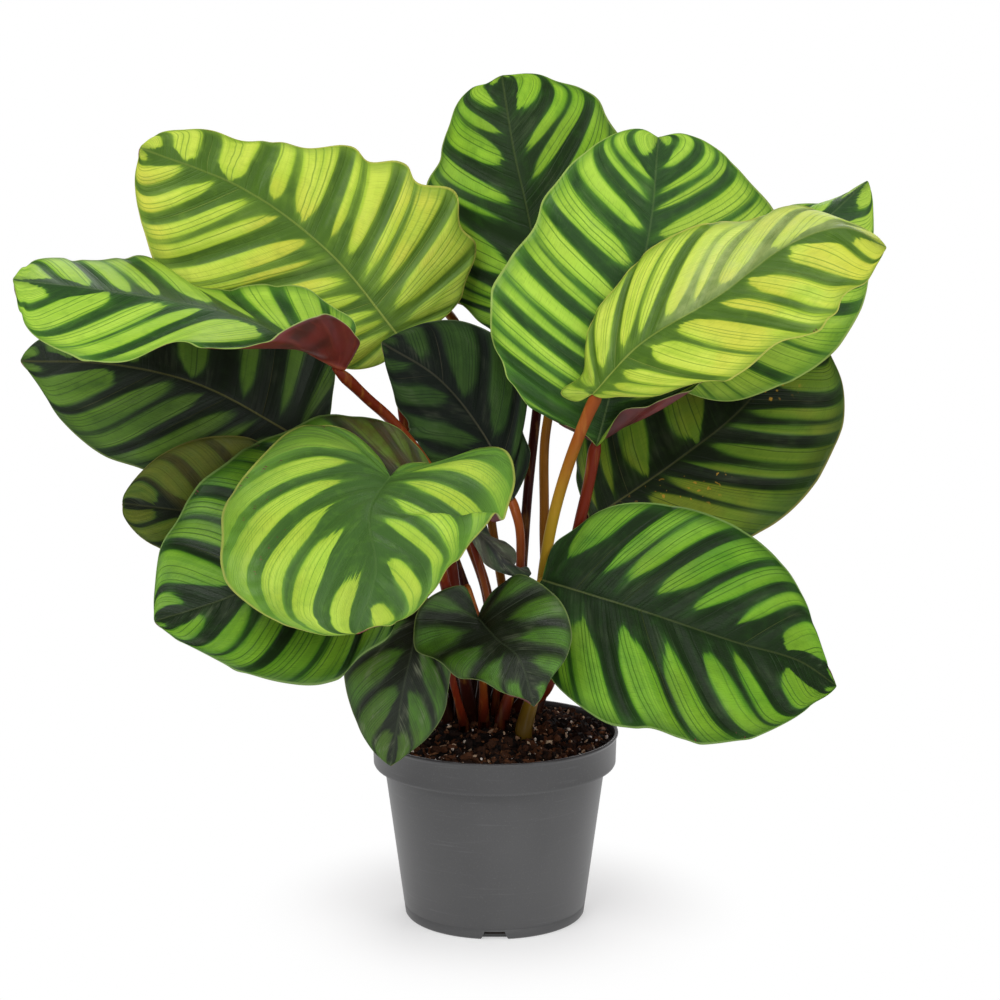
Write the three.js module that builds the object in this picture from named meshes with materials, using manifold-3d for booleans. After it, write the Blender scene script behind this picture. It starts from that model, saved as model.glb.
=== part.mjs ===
// A calathea in a round nursery pot: twenty broad, banded leaves on stalks of their own, which
// rise from a crown of stems in dark peat. Millimetres, +Z up. The origin is the middle of the
// pot's foot, on the surface it stands on, and -Y is the side that faces the viewer.
import * as THREE from 'three';
import { mergeVertices } from 'three/addons/utils/BufferGeometryUtils.js';
import Module from 'manifold-3d';

// ---- driving dimensions -------------------------------------------------------------------
const POT_HEIGHT = 107;
const RIM_RADIUS = 70;          // outside of the rolled lip
const BAND_RADIUS = 68.6;       // outside of the straight band, at its lower edge
const BAND_HEIGHT = 18.6;
const BODY_TOP_RADIUS = 62.5;   // outside of the tapered body, just under the band
const FOOT_RADIUS = 51.7;
const FOOT_LINE_HEIGHT = 6;     // faint ring round the foot
const POT_WALL = 1.4;
const POT_FLOOR = 2.4;
const POT_SIDES = 36;
const NOTCH_COUNT = 4;          // drain notches round the foot
const NOTCH_WIDTH = 12;
const NOTCH_HEIGHT = 5;
const NOTCH_LENGTH = 10;
const NOTCH_INSET = 6;          // how far it reaches in from the foot's outside

const FIT_GAP = 0.35;           // clearance between pieces that rest on or in each other
const SOIL_EDGE = 103;          // height of the soil along the wall
const SOIL_MOUND = 17;          // how much higher it lies round the crown
const MOUND_REACH = 42;         // how far out the mound fades

const BLADE_THICKNESS = 0.8;
const KEEL_DEPTH = 1.8;         // how far the midrib stands out under a big blade
const KEEL_SHARE = 0.07;        // half the midrib's width, as a share of the half blade
const KEEL_START = 0.17;        // share of the margin over which the midrib grows to full depth
const VEIN_SWEEP = 1.9;         // how far the side veins lean towards the tip
const VEIN_BEND = 0.4;
const WAVE_REACH = 2.2;         // how soon the margin's waves fade towards the midrib
const BIG_BLADE_SHARES = [0, KEEL_SHARE, 0.34, 0.62, 0.84, 1];      // of the half blade, out from
const SMALL_BLADE_SHARES = [0, 1.4 * KEEL_SHARE, 0.42, 0.74, 1];    // the midrib: the columns

const STALK_SIDES = 7;
const STALK_ROOT_SWELL = 1.15;  // the sheath at the soil, against the stalk higher up
const STALK_TIP_RADIUS = 1.3;   // where the stalk meets the blade
const STALK_SEAT = 0.9;         // from the stalk's end to the start of the midrib
const STALK_STATIONS = [0, 0.1, 0.22, 0.34, 0.46, 0.58, 0.7, 0.83, 0.95, 1];

// ---- colours ------------------------------------------------------------------------------
const BRIGHT_GREEN = '#8fc13c';
const MID_GREEN = '#4f8f2c';
const DARK_GREEN = '#24521f';
const RED_STALK = '#8c3a22';
const MAROON_STALK = '#4a1f1c';
const OLIVE_STALK = '#a07a1e';
const BROWN_STALK = '#7a4a1a';

// ---- the leaves ---------------------------------------------------------------------------
// rib: points along the midrib, from the stalk to the tip. left and right: points of the two
// margins, from the stalk to the tip, as seen on the upper face with the tip pointing away.
// stalk: points of the leaf stalk, from its root in the soil up to just short of the blade.
// wave: height and number of the waves along the margins. rows: side veins the blade is divided
// into. keel: share of KEEL_DEPTH. girth: radius of the stalk. drop: how far below the start of
// the midrib the stalk ends, so that it stays clear of the blade's lobes.
const LEAVES = {
  upper_left: {
    rib: [[-55, 45, 326], [-93, 48, 372], [-140, 45, 408], [-198, 40, 432]],
    left: [[-61, 42, 312], [-80, 39, 307], [-121, 34, 319], [-165, 32, 344], [-190, 32, 368],
      [-197, 34, 388], [-201, 37, 413]],
    right: [[-31, 54, 333], [-15, 60, 352], [-10, 64, 378], [-21, 67, 403], [-51, 68, 422],
      [-88, 66, 432], [-131, 60, 435], [-171, 51, 442], [-187, 46, 440]],
    stalk: [[-13, 9, 99], [-13, 9, 120], [-9, 14, 156], [-31, 22, 224], [-51, 32, 276]],
    wave: [2.5, 4], rows: 16, keel: 1, girth: 2.6, drop: 2.1, green: BRIGHT_GREEN, stem: MAROON_STALK,
  },
  left: {
    rib: [[-80, -42, 319], [-135, -60, 350], [-196, -70, 364], [-252, -72, 371]],
    left: [[-74, -50, 329], [-71, -58, 337], [-77, -66, 347], [-89, -74, 353], [-101, -84, 349],
      [-123, -98, 341], [-143, -108, 339], [-164, -116, 342], [-187, -122, 336], [-218, -114, 336],
      [-244, -90, 352]],
    right: [[-77, -36, 329], [-76, -26, 341], [-86, -16, 348], [-102, -2, 359], [-122, 4, 358],
      [-146, 6, 357], [-167, 6, 360], [-193, 2, 373], [-216, -16, 376], [-233, -36, 377],
      [-247, -58, 378]],
    stalk: [[-7, -3, 101], [-7, -3, 122], [-3, -12, 180], [-13, -15, 216], [-36, -7, 258],
      [-56, -14, 286], [-69, -28, 301]],
    wave: [2, 4], rows: 16, keel: 1, girth: 3.0, drop: 0.4, green: BRIGHT_GREEN, stem: RED_STALK,
  },
  lower_left: {
    rib: [[-106, -4, 274], [-162, -6, 305], [-211, -8, 317], [-260, -10, 319]],
    left: [[-113, -10, 254], [-140, -15, 247], [-170, -19, 251], [-195, -20, 261], [-216, -20, 269],
      [-237, -18, 287], [-250, -14, 306]],
    right: [[-94, 1, 280], [-90, 6, 298], [-89, 9, 314], [-100, 12, 330], [-119, 14, 343],
      [-150, 14, 350], [-183, 11, 349], [-213, 6, 342], [-238, 0, 336], [-256, -6, 326]],
    stalk: [[-26, 7, 96], [-26, 7, 117], [-31, 4, 158], [-58, 0, 217], [-89, -4, 262]],
    wave: [2, 4], rows: 16, keel: 1, girth: 2.6, drop: 1.1, green: MID_GREEN, stem: RED_STALK,
  },
  small_left: {
    rib: [[-107, -26, 228], [-139, -34, 237], [-171, -42, 242], [-201, -48, 247]],
    left: [[-120, -40, 211], [-146, -53, 206], [-164, -58, 214], [-180, -59, 224], [-192, -57, 232],
      [-200, -52, 241]],
    right: [[-104, -22, 241], [-115, -19, 263], [-131, -21, 277], [-153, -26, 280], [-169, -31, 277],
      [-186, -38, 268], [-200, -46, 252]],
    stalk: [[-26, -8, 96], [-26, -8, 117], [-36, -12, 156], [-64, -16, 200], [-88, -20, 221]],
    wave: [1.5, 3], rows: 12, keel: 0.7, girth: 2.2, drop: 0.5, green: DARK_GREEN, stem: RED_STALK,
  },
  bottom_left: {
    rib: [[-35, -36, 256], [-85, -68, 231], [-136, -92, 207], [-178, -105, 195]],
    left: [[-34, -55, 239], [-37, -76, 216], [-50, -98, 194], [-67, -115, 177], [-86, -126, 167],
      [-108, -132, 168], [-133, -132, 175], [-156, -124, 186], [-172, -113, 192]],
    right: [[-36, -29, 266], [-45, -24, 276], [-58, -21, 287], [-81, -20, 292], [-104, -25, 288],
      [-128, -35, 280], [-155, -53, 263], [-176, -78, 232], [-179, -94, 209]],
    stalk: [[-18, -2, 99], [-18, -2, 120], [-20, -12, 162], [-24, -22, 207], [-30, -33, 240]],
    wave: [2.5, 4], rows: 16, keel: 1, girth: 3.5, drop: 0.8, green: MID_GREEN, stem: RED_STALK,
  },
  front: {
    rib: [[-56, -60, 264], [-65, -105, 253], [-60, -150, 230], [-69, -172, 205]],
    left: [[-48, -48, 268], [-30, -44, 270], [-6, -55, 277], [8, -68, 278], [11, -88, 261],
      [6, -104, 247], [1, -108, 253], [-8, -118, 244], [-22, -138, 231], [-37, -155, 215],
      [-48, -164, 209], [-60, -170, 208]],
    right: [[-62, -50, 272], [-80, -46, 286], [-99, -49, 291], [-112, -57, 288], [-128, -72, 272],
      [-144, -92, 251], [-143, -110, 237], [-137, -130, 220], [-114, -152, 208], [-87, -166, 203]],
    stalk: [[-13, -13, 99], [-13, -13, 120], [-21, -36, 168], [-29, -68, 217], [-39, -70, 247]],
    wave: [1.5, 4], rows: 16, keel: 1, girth: 2.9, drop: 1.6, green: BRIGHT_GREEN, stem: RED_STALK,
  },
  centre: {
    rib: [[10, 3, 239], [-4, 11, 271], [-31, 16, 305], [-63, 14, 326]],
    left: [[0, 2, 236], [-22, 1, 245], [-38, 3, 260], [-49, 5, 272], [-48, 7, 282], [-54, 8, 290],
      [-58, 11, 304], [-61, 12, 315]],
    right: [[15, 8, 248], [20, 12, 263], [15, 17, 279], [18, 20, 291], [14, 23, 308], [6, 25, 323],
      [-4, 25, 331], [-20, 24, 337], [-39, 22, 336], [-55, 18, 330]],
    stalk: [[3, 0, 101], [3, 0, 122], [11, -1, 148], [14, -3, 194], [14, -2, 223]],
    wave: [1.5, 4], rows: 16, keel: 1, girth: 2.5, drop: 0.6, green: DARK_GREEN, stem: RED_STALK,
  },
  top: {
    rib: [[29, 62, 325], [20, 75, 387], [11, 88, 427], [4, 104, 469]],
    left: [[14, 64, 318], [-4, 68, 327], [-26, 75, 343], [-39, 82, 363], [-42, 90, 387], [-38, 97, 411],
      [-28, 102, 437], [-24, 104, 450], [-14, 105, 462], [-6, 105, 464]],
    right: [[52, 63, 323], [75, 68, 343], [86, 75, 371], [86, 84, 405], [78, 91, 427], [68, 96, 446],
      [62, 98, 455], [49, 101, 463], [36, 103, 466], [22, 104, 470]],
    stalk: [[1, 10, 101], [1, 10, 122], [13, 18, 155], [16, 27, 199], [19, 36, 238], [24, 50, 281]],
    wave: [2.5, 5], rows: 16, keel: 1, girth: 2.8, drop: 1.9, green: MID_GREEN, stem: MAROON_STALK,
  },
  centre_right: {
    rib: [[56, -18, 273], [72, -6, 333], [86, 14, 391], [91, 36, 438]],
    left: [[49, -20, 280], [33, -22, 288], [17, -22, 297], [8, -20, 310], [1, -17, 325], [-4, -12, 345],
      [2, -5, 367], [18, 5, 387], [28, 13, 408], [43, 21, 425], [67, 29, 441], [81, 33, 443]],
    right: [[61, -24, 280], [66, -28, 290], [70, -30, 295], [81, -30, 297], [101, -20, 302],
      [136, 6, 320], [156, 22, 349], [162, 32, 376], [155, 38, 398], [143, 40, 414],
      [125, 42, 430], [105, 38, 440]],
    stalk: [[14, -3, 100], [14, -3, 121], [29, -8, 134], [38, -11, 179], [46, -13, 224], [52, -15, 252]],
    wave: [2.5, 5], rows: 16, keel: 1, girth: 3.2, drop: 0.4, green: BRIGHT_GREEN, stem: RED_STALK,
  },
  right: {
    rib: [[53, -38, 305], [78, -44, 333], [119, -52, 360], [156, -57, 388], [184, -60, 397],
      [206, -63, 387]],
    left: [[45, -32, 300], [36, -28, 304], [42, -25, 310], [48, -23, 315], [50, -19, 329],
      [55, -17, 345], [66, -15, 362], [79, -16, 377], [97, -18, 389], [118, -23, 397],
      [135, -28, 398], [159, -37, 406], [173, -43, 404], [190, -51, 399], [202, -58, 392]],
    right: [[58, -44, 304], [66, -51, 305], [83, -64, 307], [99, -74, 314], [123, -87, 321],
      [147, -94, 338], [163, -94, 344], [175, -91, 354], [181, -87, 363], [193, -81, 370],
      [200, -73, 379]],
    stalk: [[16, -28, 94], [16, -28, 115], [23, -22, 142], [26, -19, 192], [32, -24, 233],
      [43, -31, 273]],
    wave: [1.5, 4], rows: 16, keel: 1, girth: 3.2, drop: 1.3, green: BRIGHT_GREEN, stem: OLIVE_STALK,
  },
  far_right: {
    rib: [[88, 33, 322], [125, 44, 346], [170, 52, 376], [211, 58, 412]],
    left: [[82, 45, 340], [94, 57, 366], [117, 67, 382], [143, 73, 391], [169, 73, 396], [184, 71, 398],
      [197, 67, 403]],
    right: [[100, 25, 300], [132, 22, 292], [163, 23, 301], [190, 28, 318], [197, 30, 326],
      [207, 35, 344], [212, 43, 368], [214, 49, 388], [213, 55, 405]],
    stalk: [[12, 10, 99], [12, 10, 120], [27, 15, 167], [28, 19, 224], [29, 23, 275], [38, 28, 305],
      [63, 32, 320]],
    wave: [2.5, 4], rows: 16, keel: 1, girth: 2.7, drop: 0.8, green: BRIGHT_GREEN, stem: BROWN_STALK,
  },
  dark_right: {
    rib: [[53, -5, 229], [100, 16, 257], [139, 32, 285], [166, 44, 316], [183, 48, 323]],
    left: [[49, 7, 239], [46, 17, 250], [48, 31, 268], [59, 47, 288], [81, 63, 308], [110, 72, 321],
      [138, 72, 328], [163, 64, 329], [177, 55, 324]],
    right: [[61, -9, 224], [81, -12, 219], [114, -11, 214], [142, -5, 219], [162, 2, 230],
      [179, 11, 245], [191, 21, 265], [197, 28, 279], [197, 36, 298], [191, 42, 314],
      [187, 46, 321]],
    stalk: [[23, 1, 97], [23, 1, 118], [37, 3, 158], [47, 0, 205]],
    wave: [2, 4], rows: 16, keel: 1, girth: 2.7, drop: 0.4, green: DARK_GREEN, stem: RED_STALK,
  },
  bottom_right: {
    rib: [[26, -32, 201], [78, -52, 189], [129, -68, 175], [164, -76, 166], [183, -82, 154]],
    left: [[29, -27, 211], [34, -24, 221], [46, -22, 229], [58, -22, 237], [74, -23, 242],
      [98, -27, 242], [124, -35, 235], [141, -42, 227], [157, -52, 213], [167, -60, 197],
      [172, -67, 184], [179, -77, 163]],
    right: [[20, -42, 192], [22, -61, 169], [32, -73, 154], [45, -83, 143], [61, -93, 136],
      [83, -101, 136], [98, -106, 131], [111, -108, 129], [125, -108, 131], [141, -106, 134],
      [159, -100, 141], [168, -95, 147], [178, -88, 151]],
    stalk: [[4, -21, 98], [4, -21, 119], [14, -28, 155], [22, -32, 190]],
    wave: [1.5, 4], rows: 16, keel: 1, girth: 2.8, drop: 1.2, green: MID_GREEN, stem: OLIVE_STALK,
  },
  heart: {
    rib: [[-9, -62, 187], [2, -85, 180], [13, -100, 174], [21, -112, 151]],
    left: [[-6, -59, 193], [0, -58, 202], [13, -61, 210], [23, -65, 208], [32, -71, 202],
      [39, -79, 193], [41, -87, 182], [38, -95, 173], [30, -103, 164], [25, -109, 155]],
    right: [[-12, -62, 192], [-16, -64, 204], [-24, -67, 205], [-33, -70, 202], [-40, -75, 195],
      [-43, -81, 185], [-42, -87, 176], [-30, -95, 171], [-19, -102, 164], [-8, -106, 164],
      [4, -110, 158], [16, -112, 155]],
    stalk: [[-6, -21, 97], [-6, -21, 118], [-7, -40, 152], [-13, -50, 188], [-15, -55, 202]],
    wave: [1, 4], rows: 13, keel: 0.6, girth: 2.2, drop: 2.5, green: DARK_GREEN, stem: BROWN_STALK,
  },
  small_front: {
    rib: [[-40, -62, 194], [-44, -74, 173], [-48, -80, 156], [-56, -76, 108]],
    left: [[-30, -63, 190], [-23, -67, 173], [-24, -71, 155], [-26, -74, 141], [-31, -75, 131],
      [-38, -77, 122], [-49, -77, 113]],
    right: [[-54, -61, 195], [-67, -62, 186], [-77, -64, 169], [-81, -66, 158], [-80, -68, 147],
      [-77, -70, 137], [-70, -73, 123], [-63, -75, 113]],
    stalk: [[-17, -22, 95], [-17, -22, 116], [-23, -40, 146], [-31, -54, 185]],
    wave: [1, 3], rows: 12, keel: 0.6, girth: 2.0, drop: 1.2, green: DARK_GREEN, stem: RED_STALK,
  },
  curled: {
    rib: [[-13, -36, 233], [-2, -42, 223], [7, -44, 214], [20, -38, 206]],
    left: [[-6, -32, 234], [0, -30, 224], [6, -30, 221], [11, -31, 217], [12, -32, 212], [11, -33, 208],
      [18, -36, 209]],
    right: [[-18, -39, 230], [-12, -43, 225], [-8, -45, 218], [-6, -46, 214], [1, -46, 209],
      [10, -44, 206], [18, -40, 204]],
    stalk: [[0, -11, 100], [0, -11, 121], [2, -20, 153], [-5, -30, 195], [-13, -36, 227]],
    wave: [1, 2], rows: 12, keel: 0.3, girth: 1.7, drop: 1.6, green: DARK_GREEN, stem: RED_STALK,
  },
  back_left: {
    rib: [[-33, 84, 343], [-56, 114, 359], [-81, 145, 353], [-98, 167, 332]],
    left: [[-54, 62, 344], [-77, 60, 354], [-101, 71, 363], [-116, 97, 363], [-116, 128, 354],
      [-107, 153, 341]],
    right: [[-6, 99, 331], [1, 121, 333], [-4, 147, 337], [-25, 168, 339], [-56, 175, 338],
      [-82, 173, 334]],
    stalk: [[-7, 20, 98], [-7, 20, 119], [6, 34, 151], [-2, 46, 219], [-10, 58, 287], [-22, 72, 328]],
    wave: [3, 4], rows: 13, keel: 0.9, girth: 2.6, drop: 0.8, green: MID_GREEN, stem: BROWN_STALK,
  },
  back_right: {
    rib: [[86, 78, 238], [114, 107, 252], [143, 137, 244], [163, 158, 222]],
    left: [[59, 97, 227], [53, 122, 228], [62, 149, 231], [85, 168, 231], [119, 172, 229],
      [146, 166, 225]],
    right: [[104, 54, 238], [127, 50, 246], [153, 60, 253], [172, 85, 252], [176, 117, 243],
      [170, 142, 231]],
    stalk: [[22, 12, 96], [22, 12, 117], [41, 30, 152], [62, 52, 200]],
    wave: [3, 4], rows: 13, keel: 0.9, girth: 2.6, drop: 0.8, green: MID_GREEN, stem: RED_STALK,
  },
  back_centre: {
    rib: [[65, 104, 316], [69, 139, 336], [73, 178, 335], [76, 208, 317]],
    left: [[37, 103, 313], [19, 116, 322], [11, 139, 332], [17, 167, 337], [38, 191, 332],
      [60, 203, 324]],
    right: [[96, 97, 307], [118, 105, 311], [132, 126, 320], [132, 155, 325], [114, 183, 324],
      [93, 200, 320]],
    stalk: [[7, 21, 97], [7, 21, 118], [29, 34, 151], [55, 58, 216], [64, 84, 276]],
    wave: [3, 4], rows: 13, keel: 0.9, girth: 2.6, drop: 0.8, green: MID_GREEN, stem: RED_STALK,
  },
  back_low: {
    rib: [[-122, 88, 267], [-156, 109, 282], [-190, 130, 276], [-215, 146, 255]],
    left: [[-135, 59, 258], [-156, 49, 260], [-184, 52, 264], [-207, 71, 265], [-218, 102, 263],
      [-219, 129, 258]],
    right: [[-102, 112, 266], [-102, 136, 274], [-117, 159, 282], [-144, 172, 282], [-177, 168, 274],
      [-201, 157, 263]],
    stalk: [[-20, 19, 96], [-20, 19, 117], [-32, 34, 145], [-60, 56, 205], [-96, 74, 245]],
    wave: [3, 4], rows: 13, keel: 0.9, girth: 2.6, drop: 0.8, green: MID_GREEN, stem: RED_STALK,
  },
};

// ---- solids from shared corners -----------------------------------------------------------
const wasm = await Module();
wasm.setup();

function meshFrom(points, triangles) {
  const geometry = new THREE.BufferGeometry();
  geometry.setAttribute('position', new THREE.Float32BufferAttribute(points.flat(), 3));
  geometry.setIndex(triangles.flat());
  return geometry;
}

function solidFrom(geometry) {
  const bare = geometry.clone();
  bare.deleteAttribute('normal');
  bare.deleteAttribute('uv');
  const merged = mergeVertices(bare, 1e-4);
  const vertProperties = new Float32Array(merged.attributes.position.array);
  const triVerts = new Uint32Array(merged.index.array);
  return new wasm.Manifold(new wasm.Mesh({ numProp: 3, vertProperties, triVerts }));
}

function geometryFrom(solid) {
  const mesh = solid.getMesh();
  const geometry = new THREE.BufferGeometry();
  geometry.setAttribute('position', new THREE.BufferAttribute(mesh.vertProperties, 3));
  geometry.setIndex(new THREE.BufferAttribute(mesh.triVerts, 1));
  geometry.computeVertexNormals();
  return geometry;
}

function lathe(profile, sides) {
  const corners = profile.map(([radius, height]) => new THREE.Vector2(radius, height));
  return new THREE.LatheGeometry(corners, sides).rotateX(Math.PI / 2);
}

function pieceOf(name, geometry, color, roughness) {
  const material = new THREE.MeshStandardMaterial({ color, roughness, metalness: 0 });
  const mesh = new THREE.Mesh(geometry, material);
  mesh.name = name;
  return mesh;
}

// ---- pot ----------------------------------------------------------------------------------
function potGeometry() {
  const step = POT_HEIGHT - BAND_HEIGHT;
  const inner = radius => radius - POT_WALL;
  const profile = [
    [0, 0],
    [FOOT_RADIUS - 1.8, 0],
    [FOOT_RADIUS - 0.4, 1.4],
    [FOOT_RADIUS, FOOT_LINE_HEIGHT - 0.5],
    [FOOT_RADIUS - 0.4, FOOT_LINE_HEIGHT],
    [FOOT_RADIUS + 0.2, FOOT_LINE_HEIGHT + 0.6],
    [BODY_TOP_RADIUS, step - 1.2],
    [BODY_TOP_RADIUS + 1, step],
    [BAND_RADIUS - 0.6, step],
    [BAND_RADIUS, step + 0.8],
    [RIM_RADIUS - 1, POT_HEIGHT - 2.4],
    [RIM_RADIUS, POT_HEIGHT - 1.6],
    [RIM_RADIUS - 0.3, POT_HEIGHT - 0.4],
    [RIM_RADIUS - 1.2, POT_HEIGHT],
    [RIM_RADIUS - 2.2, POT_HEIGHT - 0.7],
    [inner(BAND_RADIUS), step + 2.2],
    [inner(BAND_RADIUS) - 0.8, step + 1.4],
    [inner(BODY_TOP_RADIUS) + 0.4, step + 1.4],
    [inner(BODY_TOP_RADIUS), step + 0.4],
    [inner(FOOT_RADIUS), POT_FLOOR + 1],
    [inner(FOOT_RADIUS) - 1, POT_FLOOR],
    [0, POT_FLOOR],
  ];
  let pot = solidFrom(lathe(profile, POT_SIDES));
  const half = NOTCH_WIDTH / 2;
  const outline = new THREE.Shape([
    new THREE.Vector2(-half - 0.6, -1),
    new THREE.Vector2(half + 0.6, -1),
    new THREE.Vector2(half - 0.8, NOTCH_HEIGHT),
    new THREE.Vector2(-half + 0.8, NOTCH_HEIGHT),
  ]);
  for (let k = 0; k < NOTCH_COUNT; k += 1) {
    const notch = new THREE.ExtrudeGeometry(outline, { depth: NOTCH_LENGTH, bevelEnabled: false });
    notch.rotateX(Math.PI / 2);
    notch.translate(0, NOTCH_INSET - FOOT_RADIUS, 0);
    notch.rotateZ((k * 2 * Math.PI) / NOTCH_COUNT);
    pot = pot.subtract(solidFrom(notch));
  }
  return geometryFrom(pot);
}

// ---- blades -------------------------------------------------------------------------------
const vector = ([x, y, z]) => new THREE.Vector3(x, y, z);
const smooth = points => new THREE.CatmullRomCurve3(points.map(vector), false, 'centripetal');

// The upper and lower face share one net: rows are side veins, from a point of the midrib to a
// point of the margin, and columns run with the midrib. All rows meet at the stalk and the tip.
// Veins start ever closer together towards the tip (VEIN_SWEEP), and each bends forward as it
// goes out (VEIN_BEND). The margins wave up and down across the blade.
function bladeNet(leaf, rows, shares) {
  const rib = smooth(leaf.rib);
  const ribMiddle = rib.getPointAt(0.5);
  const [waveHeight, waveCount] = leaf.wave;
  const sides = [leaf.left, leaf.right].map((margin, k) => {
    const edge = smooth([leaf.rib[0], ...margin, leaf.rib.at(-1)]);
    return { edge, out: edge.getPointAt(0.5).sub(ribMiddle), turn: k === 0 ? 1 : -1 };
  });
  const net = [];
  for (let r = 0; r <= rows; r += 1) {
    const v = r / rows;
    const along = (1 - Math.cos(Math.PI * v)) / 2;
    const start = THREE.MathUtils.lerp(v, along ** VEIN_SWEEP, 0.9);
    const foot = rib.getPointAt(start);
    const ahead = rib.getTangentAt(start);
    const row = sides.map(({ edge, out, turn }) => {
      const vein = edge.getPointAt(v).sub(foot);
      const forward = ahead.clone().multiplyScalar(vein.dot(ahead));
      const across = vein.sub(forward);
      const up = ahead.clone().cross(out).multiplyScalar(turn).normalize();
      const lift = waveHeight * Math.sqrt(Math.sin(Math.PI * v))
        * Math.sin(2 * Math.PI * (waveCount * v + 0.2 * turn));
      return shares.map(t => foot.clone()
        .addScaledVector(across, t)
        .addScaledVector(forward, THREE.MathUtils.lerp(t, t * t, VEIN_BEND))
        .addScaledVector(up, lift * t ** WAVE_REACH));
    });
    net.push([...row[0].slice(1).reverse(), ...row[1]]);
  }
  return net;
}

function netNormals(net) {
  const last = net.length - 1;
  const width = net[0].length;
  const normals = net.map((row, r) => row.map((_, c) => {
    const ahead = net[Math.min(r + 1, last)][c].clone().sub(net[Math.max(r - 1, 0)][c]);
    const right = row[Math.min(c + 1, width - 1)].clone().sub(row[Math.max(c - 1, 0)]);
    return right.cross(ahead).normalize();
  }));
  const middle = (width - 1) / 2;
  normals[0].fill(normals[1][middle]);
  normals[last].fill(normals[last - 1][middle]);
  return normals;
}

function bladeGeometry(leaf, rows, shares) {
  const net = bladeNet(leaf, rows, shares);
  const normals = netNormals(net);
  const width = net[0].length;
  const middle = (width - 1) / 2;
  const points = [];
  const corner = [[], []];
  for (const face of [0, 1]) {
    net.forEach((row, r) => {
      const v = r / rows;
      const keel = face * KEEL_DEPTH * leaf.keel * Math.min(1, v / KEEL_START) * (1 - v);
      const isPole = r === 0 || r === rows;
      corner[face].push(row.map((point, c) => {
        if (isPole && c > 0) return points.length - 1;
        const depth = BLADE_THICKNESS / 2 + (c === middle ? keel : 0);
        const offset = normals[r][c].clone().multiplyScalar(face === 0 ? depth : -depth);
        points.push(point.clone().add(offset).toArray());
        return points.length - 1;
      }));
    });
  }
  const triangles = [];
  const add = (face, a, b, c) => {
    if (a === b || b === c || a === c) return;
    triangles.push(face === 0 ? [a, b, c] : [a, c, b]);
  };
  for (const face of [0, 1]) {
    const at = corner[face];
    for (let r = 0; r < rows; r += 1) {
      for (let c = 0; c < width - 1; c += 1) {
        const [near, far, nearRight, farRight] = [at[r][c], at[r + 1][c], at[r][c + 1], at[r + 1][c + 1]];
        if (c < middle) {
          add(face, near, nearRight, farRight);
          add(face, near, farRight, far);
        } else {
          add(face, near, nearRight, far);
          add(face, nearRight, farRight, far);
        }
      }
    }
  }
  const [top, bottom] = corner;
  for (let r = 0; r < rows; r += 1) {
    for (const [c, face] of [[0, 0], [width - 1, 1]]) {
      add(face, top[r][c], top[r + 1][c], bottom[r + 1][c]);
      add(face, top[r][c], bottom[r + 1][c], bottom[r][c]);
    }
  }
  return meshFrom(points, triangles);
}

// ---- stalks -------------------------------------------------------------------------------
function ring(centre, direction, reference, radius, sides) {
  const u = reference.clone().addScaledVector(direction, -reference.dot(direction)).normalize();
  const w = direction.clone().cross(u);
  return Array.from({ length: sides }, (_, k) => {
    const angle = (k * 2 * Math.PI) / sides;
    return centre.clone()
      .addScaledVector(u, radius * Math.cos(angle))
      .addScaledVector(w, radius * Math.sin(angle));
  });
}

function tube(rings) {
  const sides = rings[0].length;
  const points = rings.flat().map(point => point.toArray());
  const triangles = [];
  for (let r = 0; r < rings.length - 1; r += 1) {
    for (let k = 0; k < sides; k += 1) {
      const next = (k + 1) % sides;
      const [a, b, c, d] = [r * sides + k, r * sides + next, (r + 1) * sides + k, (r + 1) * sides + next];
      triangles.push([a, b, d], [a, d, c]);
    }
  }
  const lid = (rings.length - 1) * sides;
  for (let k = 1; k < sides - 1; k += 1) {
    triangles.push([0, k + 1, k], [lid, lid + k, lid + k + 1]);
  }
  return meshFrom(points, triangles);
}

const UP = new THREE.Vector3(0, 0, 1);
const SIDEWAYS = new THREE.Vector3(1, 0.001, 0);

function stalkGeometry(leaf) {
  const [root, exit, ...rest] = leaf.stalk.map(vector);
  const joint = vector(leaf.rib[0]);
  const before = (rest.at(-1) ?? exit).clone();
  const approach = joint.clone().sub(before).normalize()
    .add(smooth(leaf.rib).getTangentAt(0)).normalize();
  const across = smooth(leaf.left).getPointAt(0.5).sub(smooth(leaf.right).getPointAt(0.5));
  const below = across.cross(smooth(leaf.rib).getTangentAt(0)).normalize();
  const end = joint.addScaledVector(approach, -STALK_SEAT).addScaledVector(below, leaf.drop);
  const path = new THREE.CatmullRomCurve3([exit, ...rest, end], false, 'centripetal');
  const thick = leaf.girth * STALK_ROOT_SWELL;
  const rings = [ring(root, UP, SIDEWAYS, thick, STALK_SIDES)];
  const reference = SIDEWAYS.clone();
  STALK_STATIONS.forEach((u, k) => {
    const isTip = k === STALK_STATIONS.length - 1;
    const centre = path.getPointAt(u);
    const direction = k === 0 ? UP : path.getTangentAt(u);
    const radius = isTip ? STALK_TIP_RADIUS : Math.max(leaf.girth, thick - u * leaf.girth);
    rings.push(ring(centre, direction, reference, radius, STALK_SIDES));
    reference.copy(rings.at(-1)[0]).sub(centre);
  });
  return tube(rings);
}

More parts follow.
